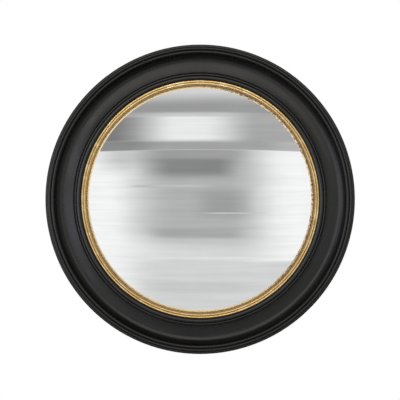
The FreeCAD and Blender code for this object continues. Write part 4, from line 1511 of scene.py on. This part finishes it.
@dataclass
class TurnButtons:
    """Teardrop plates that hold the board in, each on a screw of its own."""

    frame: MouldedFrame
    count: int = 8
    setback: float = 0.0090
    cover: float = 0.0080
    boss_radius: float = 0.0055
    nose_radius: float = 0.0040
    hole_radius: float = 0.00158
    rounding: float = 0.0003
    screw: CrossScrew = PAN_SCREW
    first_spin: float = 11.0
    screw_spin: float = 53.0

    @property
    def boss_height(self) -> float:
        """Distance of a button's screw from the mirror's axis."""
        return self.frame.stack_radius + self.setback

    def plate(self, back: float, front: float) -> bmesh.types.BMesh:
        """Cuts the plate that points straight down at the axis.

        Args:
            back: level of its wall side.
            front: level of the side on the board.

        Returns:
            The plate's mesh.
        """
        boss, nose = self.boss_height, self.frame.stack_radius - self.cover + self.nose_radius
        lean = math.asin((self.boss_radius - self.nose_radius) / (boss - nose))
        out, down = math.cos(lean), math.sin(lean)
        outline = Outline(self.boss_radius * out, boss - self.boss_radius * down, ACROSS, UP, soften=0.0)
        outline.swing(0, boss, math.pi + 2 * lean)
        outline.line(-self.nose_radius * out, nose - self.nose_radius * down)
        outline.swing(0, nose, math.pi - 2 * lean)
        outline.close()
        around = Matrix.Translation(UP * boss) @ Matrix.Rotation(math.pi / 2, 4, ACROSS)
        bmesh.ops.create_circle(outline.mesh, segments=SMALL_STEPS, radius=self.hole_radius, matrix=around)
        mesh = outline.raised(front - back)
        bmesh.ops.translate(mesh, verts=mesh.verts[:], vec=TO_VIEWER * back)
        rim = [
            edge for edge in mesh.edges
            if all(abs(-vertex.co.y - back) < MERGE_DISTANCE for vertex in edge.verts)
            and edge.calc_face_angle(0.0) > CREASE_ANGLE
            and all((vertex.co - UP * boss).xz.length > 2 * self.hole_radius for vertex in edge.verts)
        ]
        bmesh.ops.bevel(
            mesh, geom=rim, offset=self.rounding, segments=SOFT_SEGMENTS, profile=0.5, affect="EDGES",
            material=-1,
        )
        return mesh

    def build_button(self, index: int) -> bpy.types.Object:
        """Builds one button at its place round the board.

        Args:
            index: which button, clockwise from the top one as the viewer sees them.

        Returns:
            The button.
        """
        node = f"turn_button_{index + 1}"
        low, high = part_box(node)
        mesh = self.plate(-high.y, -low.y)
        turn = about_axis(FULL_TURN * index / self.count)
        bmesh.ops.rotate(mesh, verts=mesh.verts[:], cent=ORIGIN, matrix=turn)
        piece = as_piece(mesh, f"board_button_{index + 1}")
        return dress(piece, TUMBLED, "button_steel", node, body=node)

    def build_screws(self) -> bpy.types.Object:
        """Sets in the pan-head screws that the buttons swing on.

        Returns:
            The screws.
        """
        low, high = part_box("turn_button_screws")
        spot = UP * self.boss_height
        mesh = self.screw.mesh(spot, crown=-high.y, tip=-low.y)
        turns = [about_axis(FULL_TURN * i / self.count) for i in range(self.count)]
        spins = [math.radians(self.screw_spin * i + self.first_spin) for i in range(self.count)]
        repeated(mesh, turns, spins, spot)
        return dress(as_piece(mesh, "button_screws"), ZINC, "zinc_steel", "turn_button_screws")

    def build(self) -> None:
        """Builds every button and its screw."""
        for index in range(self.count):
            self.build_button(index)
        self.build_screws()


# ---------------------------------------------------------------------------------------------------------
# Hangers and bumpers
# ---------------------------------------------------------------------------------------------------------


class Side(Enum):
    """Which side of the mirror a hanger is on, as the viewer sees it."""

    LEFT = -1
    RIGHT = 1


class Wire:
    """A round wire that is drawn and bent, run by run, in a plane along the wall."""

    def __init__(self, radius: float, start: Vector, steps: int = 24) -> None:
        """Begins the wire with a cross-section that faces across.

        Args:
            radius: radius of the wire.
            start: middle of the cross-section.
            steps: how many sides the wire has.
        """
        self.mesh = bmesh.new()
        stand = Matrix.Translation(start) @ Matrix.Rotation(math.pi / 2, 4, UP)
        stand = stand @ Matrix.Rotation(math.pi / 2, 4, ACROSS)
        bmesh.ops.create_circle(self.mesh, segments=steps, radius=radius, matrix=stand)
        self.end = self.mesh.edges[:]

    def straight(self, run: Vector) -> None:
        """Draws the wire straight on.

        Args:
            run: which way and how far it goes.
        """
        drawn = bmesh.ops.extrude_edge_only(self.mesh, edges=self.end)["geom"]
        verts = [item for item in drawn if isinstance(item, bmesh.types.BMVert)]
        bmesh.ops.translate(self.mesh, verts=verts, vec=run)
        self.end = [item for item in drawn if isinstance(item, bmesh.types.BMEdge)]

    def bent(self, centre: Vector, angle: float, steps: int) -> None:
        """Bends the wire on, clockwise as the viewer sees it.

        Args:
            centre: centre of the bend.
            angle: how far it turns.
            steps: how many steps the bend has.
        """
        spun = bmesh.ops.spin(
            self.mesh, geom=self.end, cent=centre, axis=INTO_WALL, angle=angle, steps=steps
        )["geom_last"]
        self.end = [item for item in spun if isinstance(item, bmesh.types.BMEdge)]


@dataclass
class Hangers:
    """Two straps with swinging D rings, and their screws."""

    frame: MouldedFrame
    angle: float = math.radians(63)
    inset: float = 0.0160
    strap_width: float = 0.0120
    strap_thickness: float = 0.0012
    loop_clearance: float = 0.00008
    foot_corner: float = 0.0030
    edge_rounding: float = 0.00025
    wire: float = 0.0015
    ring_half: float = 0.0100
    ring_corner: float = 0.0030
    ring_side: float = 0.0010
    corner_steps: int = 10
    bow_steps: int = 40
    screw_gap: float = 0.0020
    screw_pitch: float = 0.0140
    foot_margin: float = 0.0070
    hole_radius: float = 0.0016
    roll_step: float = 0.0004
    foot_segments: int = 8
    edge_segments: int = 2
    screw: CrossScrew = PAN_SCREW
    first_spin: float = 29.0
    screw_spin: float = 61.0

    @property
    def bore(self) -> float:
        """Inner radius of the strap's loop."""
        return self.wire + self.loop_clearance

    @property
    def loop(self) -> float:
        """Outer radius of the strap's loop."""
        return self.bore + self.strap_thickness

    @property
    def bar(self) -> Vector:
        """Finds the middle of the right ring's straight bar.

        Returns:
            Its place.
        """
        radius = self.frame.ring.radius - self.inset
        level = self.frame.ring.back - self.loop
        return Vector((radius * math.sin(self.angle), -level, radius * math.cos(self.angle)))

    @property
    def screw_heights(self) -> tuple[float, float]:
        """Heights of a strap's two screws."""
        upper = self.bar.z - self.loop - self.screw_gap - self.screw.head_radius
        return upper, upper - self.screw_pitch

    def rolled(self, foot: float) -> bmesh.types.BMesh:
        """Rolls a strap round the bar of its ring, on the mirror's middle line.

        Args:
            foot: height of its lower end.

        Returns:
            The strap's mesh, with sharp edges.
        """
        flat = -self.frame.ring.back
        outer = flat + self.strap_thickness
        centre, bar = self.bar.y, self.bar.z
        outline = Outline(flat, foot, INTO_WALL, UP, soften=0.0, longest=self.roll_step)
        outline.line(flat, bar)
        outline.swing(centre, bar, -1.5 * math.pi)
        outline.line(centre, bar - self.bore)
        outline.swing(centre, bar, 1.5 * math.pi)
        outline.line(outer, foot)
        mesh = outline.close().raised(self.strap_width)
        bmesh.ops.translate(mesh, verts=mesh.verts[:], vec=ACROSS * (-self.strap_width / 2))
        return mesh

    def eased(self, mesh: bmesh.types.BMesh, foot: float) -> None:
        """Rounds the two corners of a strap's foot, and eases all its arrises.

        Args:
            mesh: the strap.
            foot: height of its lower end.
        """
        corners = [
            edge for edge in mesh.edges
            if all(vertex.co.z < foot + MERGE_DISTANCE for vertex in edge.verts)
            and abs(edge.verts[0].co.x - edge.verts[1].co.x) < MERGE_DISTANCE
        ]
        bmesh.ops.bevel(
            mesh, geom=corners, offset=self.foot_corner, segments=self.foot_segments, profile=0.5,
            affect="EDGES", material=-1,
        )
        arrises = [edge for edge in mesh.edges if edge.calc_face_angle(0.0) > CREASE_ANGLE]
        bmesh.ops.bevel(
            mesh, geom=arrises, offset=self.edge_rounding, segments=self.edge_segments, profile=0.5,
            affect="EDGES", material=-1, clamp_overlap=True,
        )

    def screw_holes(self, side: Side) -> bmesh.types.BMesh:
        """Makes the two pins that cut a strap's screw holes.

        Args:
            side: which strap.

        Returns:
            The pins.
        """
        pins = bmesh.new()
        middle = -self.frame.ring.back + self.strap_thickness / 2
        for height in self.screw_heights:
            spot = Vector((side.value * self.bar.x, middle, height))
            stand = Matrix.Translation(spot) @ Matrix.Rotation(math.pi / 2, 4, ACROSS)
            bmesh.ops.create_cone(
                pins, cap_ends=True, segments=SMALL_STEPS, radius1=self.hole_radius,
                radius2=self.hole_radius, depth=4 * self.strap_thickness, matrix=stand,
            )
        return pins

    def build_strap(self, side: Side) -> bpy.types.Object:
        """Rolls one strap, eases its edges and drills it.

        Args:
            side: which strap.

        Returns:
            The strap.
        """
        foot = self.screw_heights[1] - self.foot_margin
        mesh = self.rolled(foot)
        self.eased(mesh, foot)
        bmesh.ops.translate(mesh, verts=mesh.verts[:], vec=ACROSS * (side.value * self.bar.x))
        piece = drilled(as_piece(mesh, f"strap_{side.name.lower()}"), self.screw_holes(side))
        return dress(piece, ZINC, "zinc_steel", f"hanger_strap_{side.name.lower()}")

    def build_ring(self, side: Side) -> bpy.types.Object:
        """Bends one D ring from wire.

        Args:
            side: which ring.

        Returns:
            The ring.
        """
        wire = Wire(self.wire, self.bar)
        flat, corner = self.ring_half - self.ring_corner, self.ring_corner
        wire.straight(ACROSS * -flat)
        wire.bent(self.bar + ACROSS * -flat + UP * corner, math.pi / 2, self.corner_steps)
        wire.straight(UP * self.ring_side)
        wire.bent(self.bar + UP * (corner + self.ring_side), math.pi, self.bow_steps)
        wire.straight(UP * -self.ring_side)
        wire.bent(self.bar + ACROSS * flat + UP * corner, math.pi / 2, self.corner_steps)
        wire.straight(ACROSS * -flat)
        mesh = wire.mesh
        bmesh.ops.translate(mesh, verts=mesh.verts[:], vec=ACROSS * (side.value - 1) * self.bar.x)
        node = f"hanger_ring_{side.name.lower()}"
        piece = as_piece(mesh, f"d_ring_{side.name.lower()}")
        return dress(piece, ZINC, "zinc_steel", node, body=node)

    def build_screws(self) -> bpy.types.Object:
        """Sets in the four pan-head screws of both straps.

        Returns:
            The screws.
        """
        low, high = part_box("hanger_screws")
        mesh = bmesh.new()
        places = [(side, height) for side in Side for height in self.screw_heights]
        for index, (side, height) in enumerate(places):
            spot = Vector((side.value * self.bar.x, 0, height))
            one = self.screw.mesh(spot, crown=-high.y, tip=-low.y)
            turn = about_axis(math.radians(self.first_spin + self.screw_spin * index))
            bmesh.ops.rotate(one, verts=one.verts[:], cent=spot, matrix=turn)
            data = bpy.data.meshes.new("one_screw")
            one.to_mesh(data)
            one.free()
            mesh.from_mesh(data)
            bpy.data.meshes.remove(data)
        return dress(as_piece(mesh, "strap_screws"), ZINC, "zinc_steel", "hanger_screws")

    def build(self) -> None:
        """Builds both hangers."""
        for side in Side:
            self.build_strap(side)
            self.build_ring(side)
        self.build_screws()


@dataclass
class WallBumpers:
    """Four round rubber pads between the frame and the wall."""

    frame: MouldedFrame
    radius: float = 0.0090
    inset: float = 0.0190
    angle: float = math.radians(33)
    rounding: float = 0.0015
    front_arris: float = 0.0003
    step: float = 0.0008
    steps: int = 48

    def build(self) -> bpy.types.Object:
        """Turns one pad and repeats it in all four quarters.

        Returns:
            The pads.
        """
        low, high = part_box("wall_bumpers")
        foot = -high.y
        outline = Outline(0, foot, soften=0.0, longest=self.step)
        outline.line(self.radius / 2, foot)
        outline.line(self.radius - self.rounding, foot)
        outline.arc(self.radius, foot + self.rounding, self.rounding, Bend.ROUND)
        outline.line(self.radius, -low.y, self.front_arris)
        outline.line(0, -low.y)
        mesh = outline.turned(self.steps)
        spot = UP * (self.frame.ring.radius - self.inset)
        bmesh.ops.translate(mesh, verts=mesh.verts[:], vec=spot)
        angles = [self.angle, math.pi - self.angle, math.pi + self.angle, -self.angle]
        repeated(mesh, [about_axis(angle) for angle in angles], [0.0] * len(angles), spot)
        piece = as_piece(mesh, "rubber_bumpers")
        return dress(piece, RUBBER, "bumper_rubber", "wall_bumpers")


# ---------------------------------------------------------------------------------------------------------
# Studio
# ---------------------------------------------------------------------------------------------------------


MILLIMETRES = 1000
EVERYWHERE: Spread = (-9.0, -9.0, 9.0, 9.0)


@dataclass(frozen=True)
class Panel:
    """A soft-edged patch of the room, laid out where a viewer finds it in the glass, in metres there.

    Each spread says where the patch begins to show, shows fully, begins to fade and has gone.
    """

    level: float
    across: Spread
    up: Spread


@dataclass(frozen=True)
class SoftBox:
    """A wide lamp, given by where it is seen from the mirror: angles in degrees, to the right and up.

    Its light is kept off the pieces that are named.
    """

    name: str
    azimuth: float
    elevation: float
    width: float
    height: float
    level: float
    colour: tuple
    kept_off: tuple[str, ...]


ROOM = (
    Panel(0.60, (-0.240, -0.150, -0.070, 0.000), (0.040, 0.080, 0.0955, 0.098)),
    Panel(0.72, (-0.200, -0.050, 0.060, 0.200), (-9.0, -9.0, 0.0955, 0.098)),
    Panel(0.47, (-0.180, -0.045, 0.050, 0.160), (-0.105, -0.060, 0.0955, 0.098)),
    Panel(0.37, (-0.150, -0.060, 0.050, 0.110), (0.060, 0.085, 0.0955, 0.098)),
    Panel(0.26, (-0.135, -0.050, 0.030, 0.085), (0.034, 0.056, 0.076, 0.084)),
    Panel(0.37, (-0.030, 0.035, 0.050, 0.115), (-0.042, -0.022, 0.004, 0.030)),
    Panel(0.56, (-0.150, -0.110, -0.020, 0.040), (0.0225, 0.0245, 0.0275, 0.0300)),
    Panel(0.60, (-0.010, 0.040, 0.090, 0.150), (-0.0290, -0.0275, -0.0260, -0.0245)),
    Panel(0.42, (-0.110, -0.055, 0.050, 0.095), (-0.080, -0.070, -0.062, -0.052)),
    Panel(0.78, (-0.190, -0.100, 0.080, 0.190), (-0.1190, -0.1160, -0.1145, -0.1115)),
    Panel(0.69, (-0.160, -0.060, 9.0, 9.0), (-9.0, -9.0, -0.1280, -0.1200)),
    Panel(0.62, (-0.140, -0.060, 0.060, 0.140), (-0.194, -0.180, -0.172, -0.158)),
    Panel(0.39, EVERYWHERE, (0.0955, 0.0985, 9.0, 9.0)),
    Panel(0.28, (-9.0, -9.0, -0.150, -0.060), (0.0955, 0.0985, 0.113, 0.120)),
    Panel(0.50, (0.110, 0.190, 9.0, 9.0), (0.0955, 0.0985, 0.113, 0.120)),
    Panel(0.43, EVERYWHERE, (0.112, 0.120, 9.0, 9.0)),
    Panel(0.22, (-9.0, -9.0, -0.180, -0.100), (0.112, 0.120, 0.163, 0.168)),
    Panel(0.87, (-0.135, -0.045, 0.005, 0.115), (0.110, 0.120, 0.163, 0.168)),
    Panel(0.62, (-0.150, -0.060, 0.030, 0.120), (0.163, 0.167, 0.170, 0.177)),
    Panel(0.35, EVERYWHERE, (0.170, 0.178, 9.0, 9.0)),
    Panel(0.72, EVERYWHERE, (0.186, 0.224, 9.0, 9.0)),
)
GLASS_AND_GILT = ("convex_glass", "gilded_slip")
GLASS_AND_BLACK = ("convex_glass", "moulding", "beaded_slip")
ALL_IN_FRONT = ("convex_glass", "gilded_slip", "moulding", "beaded_slip")
SOFT_BOXES = (
    SoftBox("top_box", -2.0, 25.0, 46.0, 38.0, 2.0, (1.0, 0.970, 0.870), GLASS_AND_GILT),
    SoftBox("left_box", -47.0, -1.0, 76.0, 32.0, 2.0, (0.860, 0.890, 1.0), GLASS_AND_GILT),
    SoftBox("bead_box", -32.0, 14.0, 50.0, 50.0, 1.1, (0.98, 0.98, 1.0), (*GLASS_AND_GILT, "moulding")),
    SoftBox("right_box", 24.0, 0.0, 36.0, 40.0, 0.35, (1.0, 1.0, 1.0), GLASS_AND_GILT),
    SoftBox("gilt_box", -8.0, 36.0, 60.0, 30.0, 2.5, (1.0, 0.99, 0.97), GLASS_AND_BLACK),
    SoftBox("low_box", 0.0, -9.0, 56.0, 24.0, 1.05, (1.0, 0.99, 0.98), GLASS_AND_BLACK),
    SoftBox("back_box", 150.0, 35.0, 70.0, 50.0, 2.0, (1.0, 0.99, 0.97), ALL_IN_FRONT),
)


@dataclass
class Studio:
    """Camera, lamps, floor, and the room that shows in the glass and the lacquer."""

    image_width: int = 400
    outer_radius_px: float = 154.6
    centre_px: tuple[float, float] = (200.15, 199.3)
    rim_level: float = 0.050
    distance: float = 3.5
    sensor: float = 0.036
    glass_scale: float = 0.797
    wall_level: float = 0.97
    side_level: float = 0.38
    far_level: float = 0.06
    behind_level: float = 0.24
    diffuse_level: float = 0.62
    lamp_distance: float = 3.0
    floor_drop: float = 0.70
    floor_radius: float = 1.5
    floor_steps: int = 96
    floor_colour: tuple = (0.82, 0.82, 0.81, 1.0)
    white: tuple = (1.0, 1.0, 1.0, 1.0)
    least_nearness: float = 0.02
    room_edge: tuple[float, float] = (0.25, 0.42)
    steep: tuple[float, float] = (0.35, 0.85)
    behind_mirror: tuple[float, float] = (0.60, 0.95)
    cloud_scale: float = 1.6
    streaks_across: float = 5.0
    streaks_up: float = 110.0

    def place_camera(self) -> None:
        """Puts the camera straight ahead, framed as the photograph is."""
        per_pixel = reach("front_moulding").radius / self.outer_radius_px
        frame_width = self.image_width * per_pixel
        data = bpy.data.cameras.new("camera")
        data.sensor_width = self.sensor * MILLIMETRES
        data.lens = MILLIMETRES * self.sensor * self.distance / frame_width
        camera = bpy.data.objects.new("camera", data)
        bpy.context.scene.collection.objects.link(camera)
        aside = (self.image_width / 2 - self.centre_px[0]) * per_pixel
        above = (self.centre_px[1] - self.image_width / 2) * per_pixel
        camera.location = Vector((aside, -self.rim_level - self.distance, above))
        camera.rotation_euler = (math.pi / 2, 0, 0)
        bpy.context.scene.camera = camera

    def place_floor(self) -> None:
        """Lays a plain pale floor under the mirror."""
        mesh = bmesh.new()
        under = Matrix.Translation(UP * -self.floor_drop)
        bmesh.ops.create_circle(
            mesh, cap_ends=True, segments=self.floor_steps, radius=self.floor_radius, matrix=under
        )
        data = bpy.data.meshes.new("studio_floor")
        mesh.to_mesh(data)
        mesh.free()
        floor = bpy.data.objects.new("studio_floor", data)
        bpy.context.scene.collection.objects.link(floor)
        material = bpy.data.materials.new("pale_floor")
        material.use_nodes = True
        graph = Graph(material.node_tree)
        matt = graph.node("BsdfDiffuse", {"Color": self.floor_colour})
        graph.node("OutputMaterial", {"Surface": matt.outputs[0]})
        floor.data.materials.append(material)
        floor.visible_glossy = False

    def room(self, graph: Graph) -> bpy.types.NodeSocket:
        """Lays out how bright the room is in each direction, for whatever shines.

        Args:
            graph: the world's node graph.

        Returns:
            The brightness.
        """
        direction = graph.node("TexCoord").outputs["Generated"]
        x, y, z = graph.node("SeparateXYZ", {0: direction}).outputs
        nearness = graph.math("MAXIMUM", graph.math("SUBTRACT", 1.0, y), self.least_nearness)
        scale = graph.math("DIVIDE", self.glass_scale, nearness)
        across, up = graph.math("MULTIPLY", x, scale), graph.math("MULTIPLY", z, scale)
        level: Input = self.wall_level
        for panel in ROOM:
            inside = graph.math("MULTIPLY", graph.within(across, panel.across), graph.within(up, panel.up))
            level = graph.towards(level, panel.level, inside)
        steep = graph.ramp(graph.math("ABSOLUTE", z), *self.steep)
        sides = graph.towards(self.side_level, self.far_level, steep)
        clouds = graph.ramp(graph.noise(direction, self.cloud_scale, detail=2.0), 0.3, 0.7, 0.7, 1.3)
        sides = graph.math("MULTIPLY", sides, clouds)
        sides = graph.towards(sides, self.behind_level, graph.ramp(y, *self.behind_mirror))
        squares = graph.math("ADD", graph.math("MULTIPLY", across, across), graph.math("MULTIPLY", up, up))
        outside = graph.ramp(graph.math("SQRT", squares), *self.room_edge)
        level = graph.towards(level, sides, outside)
        streak_place = graph.node("CombineXYZ", {
            0: graph.math("MULTIPLY", across, self.streaks_across),
            2: graph.math("MULTIPLY", up, self.streaks_up),
        })
        streaks = graph.ramp(graph.noise(streak_place.outputs[0], 1.0, detail=4.0), 0.3, 0.7, 0.955, 1.045)
        return graph.math("MULTIPLY", level, streaks)

    def light_world(self) -> None:
        """White to the camera, plain to matt surfaces, and a room to whatever shines."""
        world = bpy.data.worlds.new("studio")
        world.use_nodes = True
        bpy.context.scene.world = world
        world.cycles.sampling_method = "NONE"
        graph = Graph(world.node_tree)
        path = graph.node("LightPath").outputs
        shiny = graph.math("MAXIMUM", path["Is Glossy Ray"], path["Is Transmission Ray"])
        strength = graph.towards(self.diffuse_level, self.room(graph), shiny)
        strength = graph.towards(strength, 1.0, path["Is Camera Ray"])
        background = graph.node("Background", {"Color": self.white, "Strength": strength})
        graph.node("OutputWorld", {"Surface": background.outputs[0]})

    def hang(self, box: SoftBox) -> None:
        """Hangs one soft box that looks at the mirror.

        Args:
            box: where it is seen, how bright it looks and what it doesn't reach.
        """
        data = bpy.data.lights.new(box.name, "AREA")
        data.shape = "RECTANGLE"
        data.size, data.size_y = (
            2 * self.lamp_distance * math.tan(math.radians(angle) / 2) for angle in (box.width, box.height)
        )
        data.energy = math.pi * data.size * data.size_y * box.level
        data.color = box.colour
        lamp = bpy.data.objects.new(box.name, data)
        bpy.context.scene.collection.objects.link(lamp)
        turn = Matrix.Rotation(math.radians(box.azimuth), 3, UP)
        lift = Matrix.Rotation(math.radians(-box.elevation), 3, ACROSS)
        lamp.location = turn @ lift @ (TO_VIEWER * self.lamp_distance)
        lamp.rotation_euler = (-lamp.location).to_track_quat("-Z", "Y").to_euler()
        lamp.visible_camera = False
        unlit = bpy.data.collections.new(f"{box.name}_unlit")
        for name in box.kept_off:
            unlit.objects.link(bpy.data.objects[name])
        lamp.light_linking.receiver_collection = unlit
        for item in unlit.collection_objects:
            item.light_linking.link_state = "EXCLUDE"

    def build(self) -> None:
        """Sets up the whole studio."""
        self.place_camera()
        self.place_floor()
        self.light_world()
        for box in SOFT_BOXES:
            self.hang(box)
        bpy.context.scene.view_settings.view_transform = "Standard"


# ---------------------------------------------------------------------------------------------------------
# The whole mirror
# ---------------------------------------------------------------------------------------------------------


def main() -> None:
    """Builds the mirror in its order of assembly, then the studio."""
    logging.basicConfig(level=logging.INFO, format="%(name)s: %(message)s")
    moulded_frame = MouldedFrame()
    slips = Slips(moulded_frame)
    assemblies = (
        moulded_frame, slips, GlassStack(slips), TurnButtons(moulded_frame), Hangers(moulded_frame),
        WallBumpers(moulded_frame),
    )
    for assembly in assemblies:
        assembly.build()
    Studio().build()


if __name__ == "__main__":
    main()
